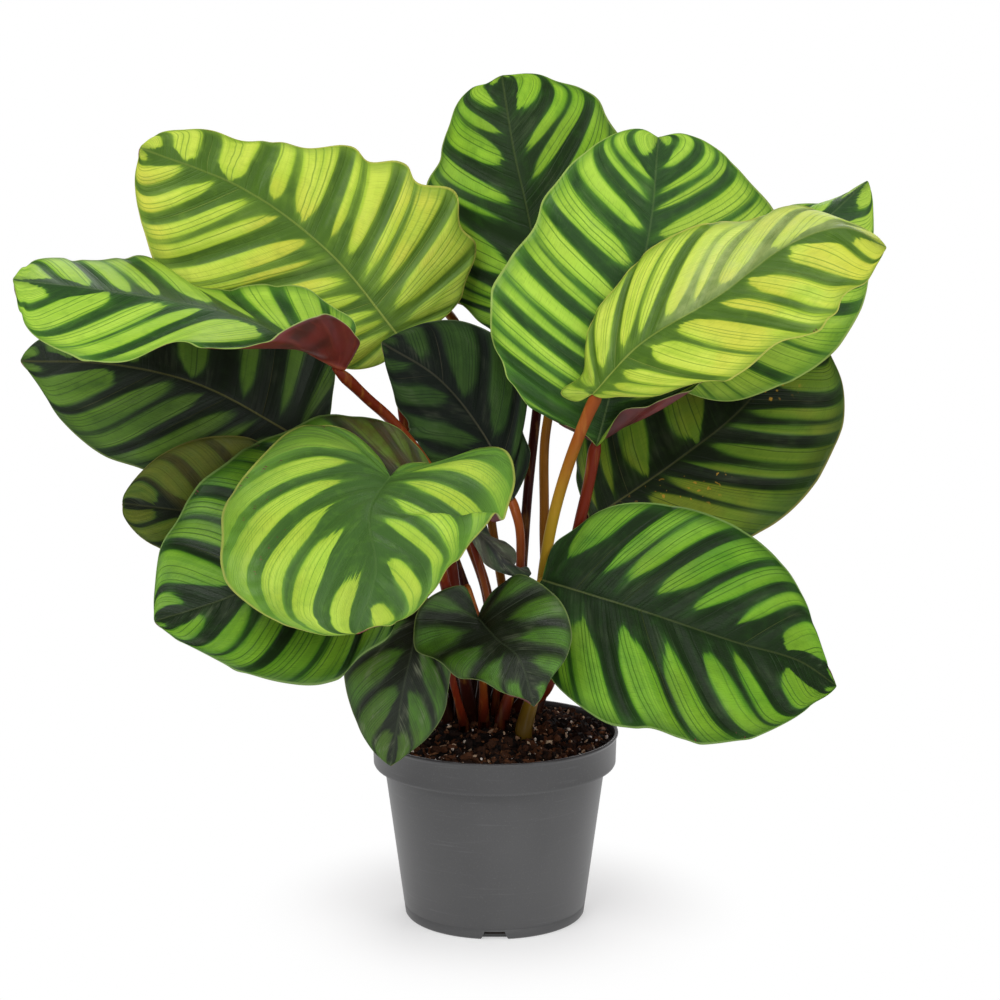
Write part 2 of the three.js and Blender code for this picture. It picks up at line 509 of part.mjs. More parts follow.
// ---- soil ---------------------------------------------------------------------------------
function soilGeometry() {
  const step = POT_HEIGHT - BAND_HEIGHT;
  const inside = radius => radius - POT_WALL - FIT_GAP;
  const surface = radius => SOIL_EDGE + SOIL_MOUND * Math.exp(-((radius / MOUND_REACH) ** 2));
  const edge = inside(BAND_RADIUS) - 0.2;
  const top = [1, 0.78, 0.56, 0.38, 0.2, 0].map(share => [edge * share, surface(edge * share)]);
  const profile = [
    [0, POT_FLOOR + FIT_GAP],
    [inside(FOOT_RADIUS) - 1.2, POT_FLOOR + FIT_GAP],
    [inside(FOOT_RADIUS), POT_FLOOR + 1 + FIT_GAP],
    [inside(BODY_TOP_RADIUS), step + 0.4 + FIT_GAP],
    [inside(BODY_TOP_RADIUS) + 0.4, step + 1.4 + FIT_GAP],
    [edge - 1.2, step + 1.4 + FIT_GAP + 0.2],
    [edge, step + 2.6 + FIT_GAP],
    ...top,
  ];
  let soil = solidFrom(lathe(profile, POT_SIDES));
  for (const leaf of Object.values(LEAVES)) {
    const [root, exit] = leaf.stalk.map(vector);
    const radius = leaf.girth * STALK_ROOT_SWELL + FIT_GAP / Math.cos(Math.PI / STALK_SIDES);
    const low = root.addScaledVector(UP, -FIT_GAP);
    const high = exit.addScaledVector(UP, 1);
    const hole = tube([low, high].map(end => ring(end, UP, SIDEWAYS, radius, STALK_SIDES)));
    soil = soil.subtract(solidFrom(hole));
  }
  return geometryFrom(soil);
}

// ---- the plant ----------------------------------------------------------------------------
const plant = new THREE.Group();
plant.add(pieceOf('pot', potGeometry(), '#4a4b4d', 0.55));
plant.add(pieceOf('soil', soilGeometry(), '#2a1d15', 0.95));
for (const [name, leaf] of Object.entries(LEAVES)) {
  const blade = bladeGeometry(leaf, leaf.rows, leaf.rows > 13 ? BIG_BLADE_SHARES : SMALL_BLADE_SHARES);
  plant.add(pieceOf(`blade_${name}`, blade, leaf.green, 0.45));
  plant.add(pieceOf(`stalk_${name}`, stalkGeometry(leaf), leaf.stem, 0.4));
}
export default plant;
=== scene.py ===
# %% [markdown]
# # A potted calathea
#
# A calathea is a floor plant of the rainforest that is kept for its leaves: broad, soft-glossy
# blades with light bands between the side veins, a burgundy underside, and one red or olive
# stalk for each blade, all rising from a crown in dark peat. This lesson dresses a finished
# solid model of one, leaf by leaf. The solid model is the frame: it fixes every place and size,
# and each piece made here stands for one of its nodes.

import math
from types import SimpleNamespace

import bpy
import numpy as np
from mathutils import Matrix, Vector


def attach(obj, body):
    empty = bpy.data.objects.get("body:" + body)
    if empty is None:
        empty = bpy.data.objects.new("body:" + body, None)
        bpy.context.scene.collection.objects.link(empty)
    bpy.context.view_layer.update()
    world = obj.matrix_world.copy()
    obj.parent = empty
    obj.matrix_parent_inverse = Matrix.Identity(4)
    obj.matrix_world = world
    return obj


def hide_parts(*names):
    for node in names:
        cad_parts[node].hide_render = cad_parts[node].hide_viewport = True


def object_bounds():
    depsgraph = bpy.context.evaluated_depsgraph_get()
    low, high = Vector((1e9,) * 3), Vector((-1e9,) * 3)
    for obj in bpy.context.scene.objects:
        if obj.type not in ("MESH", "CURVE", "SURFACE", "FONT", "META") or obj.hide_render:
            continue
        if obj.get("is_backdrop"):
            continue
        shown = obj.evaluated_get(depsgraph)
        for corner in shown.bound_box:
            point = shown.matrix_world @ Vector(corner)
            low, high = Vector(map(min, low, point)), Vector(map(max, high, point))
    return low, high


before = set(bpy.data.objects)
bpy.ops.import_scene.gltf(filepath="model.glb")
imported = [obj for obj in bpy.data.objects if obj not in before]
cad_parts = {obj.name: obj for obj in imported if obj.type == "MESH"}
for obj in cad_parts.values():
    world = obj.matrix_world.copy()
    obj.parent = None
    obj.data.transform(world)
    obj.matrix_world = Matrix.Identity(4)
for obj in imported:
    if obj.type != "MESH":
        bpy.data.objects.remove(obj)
cad_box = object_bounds()
MM = 0.001
print("frame nodes:", len(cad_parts))

# %% [markdown]
# ## Camera, light and floor
#
# The picture was taken from a little above, with a long lens, in a white studio. The camera
# stands 1.54 m in front of the pot and looks down by eleven degrees. One big soft light hangs
# over the front left, weaker ones fill from the right, the back and low in front, where the peat
# is, and the white surroundings do the rest.

# %% Camera
CAMERA_PLACE = (0.003, -1.5395, 0.5425)
CAMERA_PITCH = 0.1944
CAMERA_LENS, FILM_WIDTH = 101.32, 36  # mm
scene = bpy.context.scene
scene.view_settings.view_transform = "Standard"
camera = bpy.data.objects.new("camera", bpy.data.cameras.new("camera"))
camera.location = CAMERA_PLACE
camera.rotation_euler = (math.pi / 2 - CAMERA_PITCH, 0, 0)
camera.data.lens = CAMERA_LENS
camera.data.sensor_width = FILM_WIDTH
camera.data.clip_end = 200
scene.collection.objects.link(camera)
scene.camera = camera


# %% Lights and surroundings
def soft_light(name, place, target, size, power):
    """A square area light at place that faces target."""
    lamp = bpy.data.objects.new(name, bpy.data.lights.new(name, "AREA"))
    lamp.data.size = size
    lamp.data.energy = power
    lamp.location = place
    away = np.subtract(place, target)
    lamp.rotation_euler = (
        math.atan2(math.hypot(away[0], away[1]), away[2]),
        0,
        math.atan2(away[1], away[0]) + math.pi / 2,
    )
    scene.collection.objects.link(lamp)


PLANT_MIDDLE = (0, 0, 0.25)
soft_light("key_light", (-0.9, -1.3, 2.0), PLANT_MIDDLE, 1.6, 44)
soft_light("fill_light", (1.5, -1.1, 1.2), PLANT_MIDDLE, 1.2, 11)
soft_light("back_light", (0.3, 1.6, 1.5), PLANT_MIDDLE, 1.2, 14)
soft_light("front_light", (0.35, -2.0, 0.5), (0, 0, 0.12), 0.7, 4.5)

world = bpy.data.worlds.new("white_studio")
scene.world = world
world.use_nodes = True
sky = world.node_tree.nodes
links = world.node_tree.links
sky.clear()


def white_background(strength):
    made = sky.new("ShaderNodeBackground")
    made.inputs["Color"].default_value = (1, 1, 1, 1)
    made.inputs["Strength"].default_value = strength
    return made


seen = white_background(1.0)
lit = white_background(0.32)
path = sky.new("ShaderNodeLightPath")
choose = sky.new("ShaderNodeMixShader")
world_out = sky.new("ShaderNodeOutputWorld")
links.new(path.outputs["Is Camera Ray"], choose.inputs[0])
links.new(lit.outputs[0], choose.inputs[1])
links.new(seen.outputs[0], choose.inputs[2])
links.new(choose.outputs[0], world_out.inputs[0])


# %% [markdown]
# ## Writing shaders as sums
#
# A node tree is a formula. The small class below wraps one output of a node, so that
# `1 - mask * 0.5` adds the Math nodes for it, and `Finish.node` adds any other node with its
# settings and inputs. Every finish in this lesson is written with these two.


# %% Socket arithmetic
class Value:
    """One output socket of a finish. Sums on it add Math nodes."""

    def __init__(self, finish, socket):
        self.finish = finish
        self.socket = socket

    def _sum(self, operation, *values):
        return self.finish.node("Math", {"operation": operation}, dict(enumerate(values)))

    def __add__(self, other):
        return self._sum("ADD", self, other)

    def __radd__(self, other):
        return self._sum("ADD", other, self)

    def __sub__(self, other):
        return self._sum("SUBTRACT", self, other)

    def __rsub__(self, other):
        return self._sum("SUBTRACT", other, self)

    def __mul__(self, other):
        return self._sum("MULTIPLY", self, other)

    def __rmul__(self, other):
        return self._sum("MULTIPLY", other, self)

    def __truediv__(self, other):
        return self._sum("DIVIDE", self, other)

    def other(self, output):
        """Another output of the same node."""
        return Value(self.finish, self.socket.node.outputs[output])

    def floor(self):
        return self._sum("FLOOR", self)

    def distance_to_zero(self):
        return self._sum("ABSOLUTE", self)

    def at_least(self, other):
        return self._sum("MAXIMUM", self, other)

    def at_most(self, other):
        return self._sum("MINIMUM", self, other)

    def ramp(self, low, high):
        """0 below low, 1 above high, a smooth step between them."""
        settings = {"interpolation_type": "SMOOTHSTEP"}
        return self.finish.node("MapRange", settings, {"Value": self, 1: low, 2: high})


def set_stops(ramp, stops):
    """Gives a colour ramp its stops: pairs of a place and four numbers."""
    while len(ramp.elements) < len(stops):
        ramp.elements.new(1.0)
    for element, (place, values) in zip(ramp.elements, stops):
        element.position = place
        element.color = values


class Finish:
    """A material while it is written. `node` adds one node and gives its first output."""

    def __init__(self, name):
        self.material = bpy.data.materials.new(name)
        self.material.use_nodes = True
        self.tree = self.material.node_tree
        self.tree.nodes.clear()

    def feed(self, socket, value):
        if isinstance(value, Value):
            self.tree.links.new(value.socket, socket)
        elif isinstance(value, tuple) and len(value) == 3 and socket.type == "RGBA":
            socket.default_value = (*value, 1)
        else:
            socket.default_value = value

    def node(self, kind, settings=None, inputs=None, output=0):
        made = self.tree.nodes.new("ShaderNode" + kind)
        for key, value in (settings or {}).items():
            if key == "stops":
                set_stops(made.color_ramp, value)
            else:
                setattr(made, key, value)
        for key, value in (inputs or {}).items():
            self.feed(made.inputs[key], value)
        return Value(self, made.outputs[output])

    def mix(self, share, first, second):
        """Colour first where share is 0, second where it is 1."""
        inputs = {0: share, 6: first, 7: second}
        return self.node("Mix", {"data_type": "RGBA"}, inputs, output=2)

    def place(self):
        """Where the point is on its object, in metres."""
        return self.node("TexCoord", output=3)

    def stretched(self, place, *scales):
        """The place with x, y and z multiplied by a scale each."""
        return self.node("Mapping", None, {0: place, 3: scales})

    def vector(self, *numbers):
        return self.node("CombineXYZ", None, dict(enumerate(numbers)))

    def attribute(self, name):
        """The number of that name that the mesh carries at the point."""
        return self.node("Attribute", {"attribute_name": name}, output=2)

    def noise(self, place, scale, detail=2.0):
        inputs = {"Vector": place, "Scale": scale, "Detail": detail}
        return self.node("TexNoise", {"noise_dimensions": "3D"}, inputs)

    def dice(self, *numbers):
        """A random number from 0 to 1 for each set of up to three whole numbers."""
        inputs = {"Vector": self.vector(*numbers)}
        return self.node("TexWhiteNoise", {"noise_dimensions": "3D"}, inputs)

    def shade(self, color, roughness, height, depth, strength, **constants):
        """Ends the finish in a Principled BSDF, with a bump as deep as depth in metres."""
        shader = self.tree.nodes.new("ShaderNodeBsdfPrincipled")
        self.feed(shader.inputs["Base Color"], color)
        self.feed(shader.inputs["Roughness"], roughness)
        for key, value in constants.items():
            shader.inputs[key.replace("_", " ")].default_value = value
        bump = {"Height": height, "Distance": depth, "Strength": strength}
        self.feed(shader.inputs["Normal"], self.node("Bump", None, bump))
        return self.end(shader)

    def shader(self, kind, inputs):
        """Adds a shader node; its inputs may be numbers, values or other shaders."""
        made = self.tree.nodes.new("ShaderNode" + kind)
        for key, value in inputs.items():
            if isinstance(value, bpy.types.Node):
                self.tree.links.new(value.outputs[0], made.inputs[key])
            else:
                self.feed(made.inputs[key], value)
        return made

    def end(self, shader):
        end = self.tree.nodes.new("ShaderNodeOutputMaterial")
        self.tree.links.new(shader.outputs[0], end.inputs[0])
        return self.material


def paint(hex_code):
    """A colour as seen on screen, such as '#8fc13c', in the linear light that shaders use."""
    seen_value = np.array([int(hex_code[i : i + 2], 16) for i in (1, 3, 5)]) / 255
    linear = np.where(
        seen_value <= 0.04045, seen_value / 12.92, ((seen_value + 0.055) / 1.055) ** 2.4
    )
    return tuple(float(channel) for channel in linear)


# %% Floor
# The floor is white paper. Near the pot it takes the plant's soft shadow; further out it glows
# faintly, as paper does under the lights of a wide white studio, and melts into the white.
FLOOR_HALF = 60.0
GLOW_FROM, GLOW_TO = 0.05, 0.15  # from the pot's axis
NEAR_GLOW = 0.45  # share of the glow close to the pot; it is 1 further out


def floor_finish():
    f = Finish("white_floor")
    spot = f.node("VectorMath", {"operation": "MULTIPLY"}, {0: f.place(), 1: (1, 1, 0)})
    reach = f.node("VectorMath", {"operation": "LENGTH"}, {0: spot}, output=1)
    paper = f.shader("BsdfDiffuse", {"Color": (0.96, 0.96, 0.96)})
    glow = f.shader("Emission", {"Color": (1, 1, 1), "Strength": 1.0})
    share = reach.ramp(GLOW_FROM, GLOW_TO) * (1 - NEAR_GLOW) + NEAR_GLOW
    both = f.shader("MixShader", {0: share, 1: paper, 2: glow})
    return f.end(both)


floor_mesh = bpy.data.meshes.new("floor")
floor_mesh.from_pydata(
    [(x * FLOOR_HALF, y * FLOOR_HALF, 0) for x, y in ((-1, -1), (1, -1), (1, 1), (-1, 1))],
    [],
    [(0, 1, 2, 3)],
)
floor_mesh.materials.append(floor_finish())
floor = bpy.data.objects.new("floor", floor_mesh)
scene.collection.objects.link(floor)
floor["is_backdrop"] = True


# %% [markdown]
# ## Putting grids into meshes
#
# Nearly every piece here is a surface over two parameters: rows one way, columns the other.
# Such a grid of points is cut into four-sided faces. Where points coincide, at a leaf's tip or
# on the axis of a pot, the face has three sides, and points that no face uses are dropped.
# `finish_piece` makes the object: smooth shading, its finish and the body it rides on, and it
# hides the solid that it stands for. `smooth_curve` draws the midribs, the margins and the stalks.


# %% Grids of faces
def grid_faces(index):
    """Four-sided faces over a grid of point indices."""
    quads = np.stack([index[:-1, :-1], index[:-1, 1:], index[1:, 1:], index[1:, :-1]], -1)
    return quads.reshape(-1, 4)


def tidy_faces(faces):
    """Faces with two equal corners next to each other become three-sided. Also gives which of
    the corners, counted through all faces, are kept."""
    keep = faces != np.roll(faces, 1, axis=1)
    polygons = [tuple(face[kept].tolist()) for face, kept in zip(faces, keep)]
    return polygons, keep.ravel()


def drop_unused(faces, polygons):
    """Which points the faces use, and the polygons counted through those points only."""
    used = np.unique(faces)
    renumber = np.zeros(used[-1] + 1, int)
    renumber[used] = np.arange(len(used))
    return used, [tuple(renumber[list(polygon)].tolist()) for polygon in polygons]


def closed_rings(net, from_below):
    """Points and polygons of a net of rings. Each ring is closed, and the first and the last
    ring are one point each. A net that starts below, as a pot's does, has its faces turned
    over, so that they too look outward."""
    index = np.arange(net.shape[0] * net.shape[1]).reshape(net.shape[:2])
    index[[0, -1]] = index[[0, -1], :1]
    faces = grid_faces(np.concatenate([index, index[:, :1]], 1))
    if from_below:
        faces = faces[:, ::-1]
    used, polygons = drop_unused(faces, tidy_faces(faces)[0])
    return net.reshape(-1, 3)[used], polygons


def finish_piece(name, points, faces, materials, nodes, looks=None):
    """Makes the object: points in metres, faces as index lists, looks the finish of each face."""
    mesh = bpy.data.meshes.new(name)
    mesh.from_pydata(np.asarray(points, float), [], faces)
    for material in materials:
        mesh.materials.append(material)
    if looks is not None:
        mesh.polygons.foreach_set("material_index", np.asarray(looks, np.int32))
    mesh.polygons.foreach_set("use_smooth", np.ones(len(mesh.polygons), bool))
    mesh.update()
    piece = bpy.data.objects.new(name, mesh)
    scene.collection.objects.link(piece)
    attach(piece, "root")
    if nodes:
        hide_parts(*nodes)
    return piece


def give_values(piece, name, values):
    """A number for every corner point of the piece, for its finish to read."""
    layer = piece.data.attributes.new(name, "FLOAT", "POINT")
    layer.data.foreach_set("value", np.asarray(values, np.float32).ravel())


def give_map(piece, name, corners):
    """A flat map with one (u, v) for every corner of every face."""
    layer = piece.data.uv_layers.new(name=name)
    layer.data.foreach_set("uv", np.asarray(corners, np.float32).ravel())


# %% Curves
def unit(vectors):
    return vectors / np.maximum(np.linalg.norm(vectors, axis=-1, keepdims=True), 1e-12)


CURVE_STEPS = 40  # between two points


def smooth_curve(points, shares):
    """A centripetal Catmull-Rom curve through the points, read at shares of its length:
    between two points it is the cubic whose tangents weigh the neighbours by the square root
    of their distance. Gives places and unit tangents."""
    p = np.asarray(points, float)
    p = np.vstack([2 * p[0] - p[1], p, 2 * p[-1] - p[-2]])
    gap = np.linalg.norm(np.diff(p, axis=0), axis=1)[:, None] ** 0.5
    rise = np.diff(p, axis=0) / gap
    wide = (p[2:] - p[:-2]) / (gap[1:] + gap[:-1])
    slope_in = (rise[:-1] - wide + rise[1:])[:-1] * gap[1:-1]
    slope_out = (rise[:-1] - wide + rise[1:])[1:] * gap[1:-1]
    start, stop = p[1:-2], p[2:-1]
    q = np.linspace(0, 1, CURVE_STEPS, endpoint=False)[:, None, None]
    cubic = 2 * start - 2 * stop + slope_in + slope_out
    square = -3 * start + 3 * stop - 2 * slope_in - slope_out
    fine = start + slope_in * q + square * q**2 + cubic * q**3
    fine = np.vstack([fine.transpose(1, 0, 2).reshape(-1, 3), stop[-1:]])
    run = np.append(0, np.cumsum(np.linalg.norm(np.diff(fine, axis=0), axis=1)))
    run /= run[-1]

    def read(share):
        return np.stack([np.interp(share, run, fine[:, k]) for k in range(3)], -1)

    shares = np.asarray(shares, float)
    ahead = read(np.clip(shares + 0.01, 0, 1)) - read(np.clip(shares - 0.01, 0, 1))
    return read(shares), unit(ahead)


# %% [markdown]
# ## The leaves, as a gardener would describe them
#
# Each leaf has its midrib, its two margins and its stalk as a few points in millimetres, the
# same ones that the solid model has. Left and right are as seen on the upper face with the tip
# pointing away. The stalk's first point is its root in the soil, from which it rises straight
# up. "wave" is the height and the number of the waves along the blade's margins, "girth" the
# stalk's radius. Then comes the look: the dark lines on each half, each with its place at the
# midrib, its place at the margin and half its width, in hundredths of the margin's length; the
# greens it is painted with; and the colours of the stalk from the soil to the blade. What a
# leaf doesn't say is as in the plain look. Pairs of halves are (left, right). A leaf that is
# mostly hidden has the lines of another one that it is like.

# %% The plain look
PLAIN_LOOK = dict(
    # the light lobes: how near the midrib they start, what is added to that at the leaf's base
    # and how far along that fades, how long their points are, how soft their sides
    lobe_start=0.03, base_start=((0.2, 0.8), (0.2, 0.8)), taper=0.36, soft=1.0,
    # fading to plain green: from where on the way out and how much; then near the base, from
    # and to where along the margin and how much
    fade=(0.84, 0.65), dull=(0.08, 0.42, 0.45),
    # stains and painted sheen (0 left or 1 right, from, to, colour, share), specks on the right
    # half (from, to, colour), grey dust and painted sheen, gloss
    stains=[], specks=[], dust=0.12, gloss=0.16,
    # the shape: height of the pleats in mm, how far the margins are drawn in between veins, and
    # tears (half, place, width, depth)
    quilt=0.9, scallop=(0, 0), nicks=[],
)

# %% Leaf points
LEAVES = {
    "upper_left": dict(
        rib=[(-55, 45, 326), (-93, 48, 372), (-140, 45, 408), (-198, 40, 432)],
        left=[(-61, 42, 312), (-80, 39, 307), (-121, 34, 319), (-165, 32, 344), (-190, 32, 368),
            (-197, 34, 388), (-201, 37, 413)],
        right=[(-31, 54, 333), (-15, 60, 352), (-10, 64, 378), (-21, 67, 403), (-51, 68, 422),
            (-88, 66, 432), (-131, 60, 435), (-171, 51, 442), (-187, 46, 440)],
        stalk=[(-13, 9, 99), (-9, 14, 156), (-31, 22, 224), (-51, 32, 276)],
        wave=(2.5, 4), girth=2.6,
        left_lines=[(12, 17, 1.42), (24, 30, 1.9), (31, 37, 0.4), (37, 44, 2.09), (43, 52, 0.4),
            (49, 60, 2.09), (54, 64, 0.4), (60, 71.4, 2.47), (66, 77.5, 0.5), (71, 84, 2.47),
            (78.5, 93, 1.9), (87, 105, 1.9)],
        right_lines=[(10, 13, 1.9), (22.5, 25, 1.9), (35, 37.1, 2.09), (41, 43, 0.3), (46.4, 48.2, 2.28),
            (51, 54.6, 0.4), (56.4, 58.9, 2.47), (62.5, 68, 0.5), (69, 73.6, 2.66),
            (77.5, 86, 2.47), (87, 97, 1.9)],
        greens="pale", dull=(0.1, 0.5, 0.55), lobe_start=0.0,
        base_start=((0.04, 0.5), (0.14, 0.8)), taper=0.3, scallop=(0.02, 0.12), quilt=2.6,
        stalk_tones=("maroon", "maroon", "red"),
    ),
    "left": dict(
        rib=[(-80, -42, 319), (-135, -60, 350), (-196, -70, 364), (-252, -72, 371)],
        left=[(-74, -50, 329), (-71, -58, 337), (-77, -66, 347), (-89, -74, 353), (-101, -84, 349),
            (-123, -98, 341), (-143, -108, 339), (-164, -116, 342), (-187, -122, 336),
            (-218, -114, 336), (-244, -90, 352)],
        right=[(-77, -36, 329), (-76, -26, 341), (-86, -16, 348), (-102, -2, 359), (-122, 4, 358),
            (-146, 6, 357), (-167, 6, 360), (-193, 2, 373), (-216, -16, 376), (-233, -36, 377),
            (-247, -58, 378)],
        stalk=[(-7, -3, 101), (-3, -12, 180), (-13, -15, 216), (-36, -7, 258), (-56, -14, 286),
            (-69, -28, 301)],
        wave=(2, 4), girth=3,
        left_lines=[(10, 12, 1.9), (20, 23, 1.9), (31, 34, 1.9), (44, 49, 2.85), (56.5, 72, 2.66),
            (62, 79, 0.3), (69, 87.5, 1.9), (80, 100, 1.9)],
        right_lines=[(10, 10, 1.9), (22, 21, 1.9), (36, 33.5, 1.9), (47, 43, 2.09), (54.5, 54, 2.09),
            (64, 66.5, 2.09), (69, 73, 0.3), (74.5, 80, 2.38), (82, 93, 1.9)],
        greens="bright", nicks=[("left", 0.91, 0.011, 0.1), ("right", 0.935, 0.012, 0.14)],
        gloss=0.12, lobe_start=0.0, taper=0.24, quilt=2.2,
        stalk_tones=("maroon", "orange", "red"),
    ),
    "lower_left": dict(
        rib=[(-106, -4, 274), (-162, -6, 305), (-211, -8, 317), (-260, -10, 319)],
        left=[(-113, -10, 254), (-140, -15, 247), (-170, -19, 251), (-195, -20, 261),
            (-216, -20, 269), (-237, -18, 287), (-250, -14, 306)],
        right=[(-94, 1, 280), (-90, 6, 298), (-89, 9, 314), (-100, 12, 330), (-119, 14, 343),
            (-150, 14, 350), (-183, 11, 349), (-213, 6, 342), (-238, 0, 336), (-256, -6, 326)],
        stalk=[(-26, 7, 96), (-31, 4, 158), (-58, 0, 217), (-89, -4, 262)],
        wave=(2, 4), girth=2.6,
        left_lines=[(12, 20, 2.85), (24, 34, 2.85), (37, 49, 2.85), (43, 56.5, 0.4), (50, 66.5, 2.85),
            (57.5, 76, 0.4), (64.5, 87, 2.38), (80, 110, 2.85)],
        right_lines=[(12, 13, 3.8), (27, 26, 3.8), (40, 38, 3.8), (53, 50, 3.8), (63, 65, 2.85),
            (75, 80, 2.85), (87, 97, 1.9)],
        greens="deep", soft=2.2, lobe_start=0.05, base_start=((0.1, 0.6), (0.0, 0.8)),
        taper=0.26, quilt=1.3, stalk_tones=("maroon", "red", "red"),
    ),
    "small_left": dict(
        rib=[(-107, -26, 228), (-139, -34, 237), (-171, -42, 242), (-201, -48, 247)],
        left=[(-120, -40, 211), (-146, -53, 206), (-164, -58, 214), (-180, -59, 224),
            (-192, -57, 232), (-200, -52, 241)],
        right=[(-104, -22, 241), (-115, -19, 263), (-131, -21, 277), (-153, -26, 280),
            (-169, -31, 277), (-186, -38, 268), (-200, -46, 252)],
        stalk=[(-26, -8, 96), (-36, -12, 156), (-64, -16, 200), (-88, -20, 221)],
        wave=(1.5, 3), girth=2.2,
        left_lines=[(15, 20, 2.7), (30, 40, 2.7), (45, 58, 2.7), (60, 78, 2.25), (72, 95, 1.8),
            (86, 120, 1.8)],
        right_lines=[(15, 20, 2.7), (30, 40, 2.7), (45, 60, 2.7), (60, 78, 2.7), (72, 95, 1.8),
            (86, 120, 1.8)],
        greens="moss", stains=[(1, 0.4, 0.9, "#6a641c", 0.35)],
        stalk_tones=("maroon", "red", "red"),
    ),
    "bottom_left": dict(
        rib=[(-35, -36, 256), (-85, -68, 231), (-136, -92, 207), (-178, -105, 195)],
        left=[(-34, -55, 239), (-37, -76, 216), (-50, -98, 194), (-67, -115, 177), (-86, -126, 167),
            (-108, -132, 168), (-133, -132, 175), (-156, -124, 186), (-172, -113, 192)],
        right=[(-36, -29, 266), (-45, -24, 276), (-58, -21, 287), (-81, -20, 292), (-104, -25, 288),
            (-128, -35, 280), (-155, -53, 263), (-176, -78, 232), (-179, -94, 209)],
        stalk=[(-18, -2, 99), (-20, -12, 162), (-24, -22, 207), (-30, -33, 240)],
        wave=(2.5, 4), girth=3.5,
        left_lines=[(10, 16, 2.85), (20, 28, 2.85), (30, 40, 2.38), (36, 46, 0.4), (42, 55, 2.38),
            (50, 66, 0.6), (58, 77, 2.09), (67.5, 85, 0.4), (75.5, 92, 2.66), (86, 105, 1.9)],
        right_lines=[(10, 12, 2.85), (20, 22, 1.9), (29, 32, 1.9), (40, 50, 2.38), (47, 57, 0.4),
            (55, 68, 2.38), (62, 75, 0.6), (68.5, 83, 2.85), (78, 100, 1.9), (88, 115, 1.9)],
        greens="mid", lobe_start=0.08, gloss=0.2, dust=0.2, quilt=1.8,
        # a brown patch over the right half by the base
        stains=[(1, 0.02, 0.28, "#4a2c14", 0.8)], scallop=(0.04, 0.04),
        stalk_tones=("maroon", "red", "red"),
    ),
    "front": dict(
        rib=[(-56, -60, 264), (-65, -105, 253), (-60, -150, 230), (-69, -172, 205)],
        left=[(-48, -48, 268), (-30, -44, 270), (-6, -55, 277), (8, -68, 278), (11, -88, 261),
            (6, -104, 247), (1, -108, 253), (-8, -118, 244), (-22, -138, 231), (-37, -155, 215),
            (-48, -164, 209), (-60, -170, 208)],
        right=[(-62, -50, 272), (-80, -46, 286), (-99, -49, 291), (-112, -57, 288), (-128, -72, 272),
            (-144, -92, 251), (-143, -110, 237), (-137, -130, 220), (-114, -152, 208),
            (-87, -166, 203)],
        stalk=[(-13, -13, 99), (-21, -36, 168), (-29, -68, 217), (-39, -70, 247)],
        wave=(1.5, 4), girth=2.9,
        left_lines=[(3, 12, 2.16), (9, 38, 8.64), (23.1, 58, 3.46), (37.5, 70, 2.95), (48.9, 79, 1.37),
            (60.6, 86, 2.23), (76.9, 93, 1.87), (90, 110, 7.2)],
        right_lines=[(6, 20, 2.16), (12, 44.5, 4.32), (20.3, 65.3, 3.96), (34, 85.6, 4.32),
            (44.5, 101, 2.16), (58.5, 125, 10.08), (70, 230, 14.4)],
        greens="fresh", scallop=(0.03, 0.03),
        nicks=[("left", 0.906, 0.01, 0.05), ("right", 0.867, 0.01, 0.04)], fade=(0.64, 0.8),
        lobe_start=0.08, base_start=((0.3, 0.8), (0.45, 1.15)), taper=0.24,
        dull=(0.3, 0.52, 0.8), quilt=2.2, stalk_tones=("maroon", "red", "orange"),
    ),
    "centre": dict(
        rib=[(10, 3, 239), (-4, 11, 271), (-31, 16, 305), (-63, 14, 326)],
        left=[(0, 2, 236), (-22, 1, 245), (-38, 3, 260), (-49, 5, 272), (-48, 7, 282), (-54, 8, 290),
            (-58, 11, 304), (-61, 12, 315)],
        right=[(15, 8, 248), (20, 12, 263), (15, 17, 279), (18, 20, 291), (14, 23, 308), (6, 25, 323),
            (-4, 25, 331), (-20, 24, 337), (-39, 22, 336), (-55, 18, 330)],
        stalk=[(3, 0, 101), (11, -1, 148), (14, -3, 194), (14, -2, 223)],
        wave=(1.5, 4), girth=2.5,
        left_lines=[(15, 20, 3.6), (30, 40, 2.7), (44, 56, 2.7), (57.5, 73, 3.15), (73, 88, 3.15),
            (86, 100, 2.7)],
        right_lines=[(15, 18, 3.6), (29, 31, 3.6), (42, 46, 3.6), (57, 66, 2.7), (70, 86, 3.15),
            (84, 100, 2.7)],
        greens="night",
        nicks=[("left", 0.45, 0.01, 0.06), ("left", 0.53, 0.03, 0.12), ("left", 0.6, 0.01, 0.05)],
        soft=4.0, gloss=0.1, dust=0.12, quilt=1.4, stalk_tones=("red", "red", "orange"),
    ),
    "top": dict(
        rib=[(29, 62, 325), (20, 75, 387), (11, 88, 427), (4, 104, 469)],
        left=[(14, 64, 318), (-4, 68, 327), (-26, 75, 343), (-39, 82, 363), (-42, 90, 387),
            (-38, 97, 411), (-28, 102, 437), (-24, 104, 450), (-14, 105, 462), (-6, 105, 464)],
        right=[(52, 63, 323), (75, 68, 343), (86, 75, 371), (86, 84, 405), (78, 91, 427),
            (68, 96, 446), (62, 98, 455), (49, 101, 463), (36, 103, 466), (22, 104, 470)],
        stalk=[(1, 10, 101), (13, 18, 155), (16, 27, 199), (19, 36, 238), (24, 50, 281)],
        wave=(2.5, 5), girth=2.8,
        left_lines=[(10, 18, 2.85), (23, 33, 2.85), (30, 41, 0.4), (36.4, 48.4, 2.85), (50.7, 63, 2.38),
            (58.5, 67, 0.5), (64.5, 74.5, 2.85), (73.5, 84.5, 0.4), (78.5, 90, 2.38),
            (87, 100, 1.9)],
        right_lines=[(10, 16, 2.85), (22, 31, 2.85), (34, 45, 2.85), (40, 52, 0.4), (47, 60, 2.85),
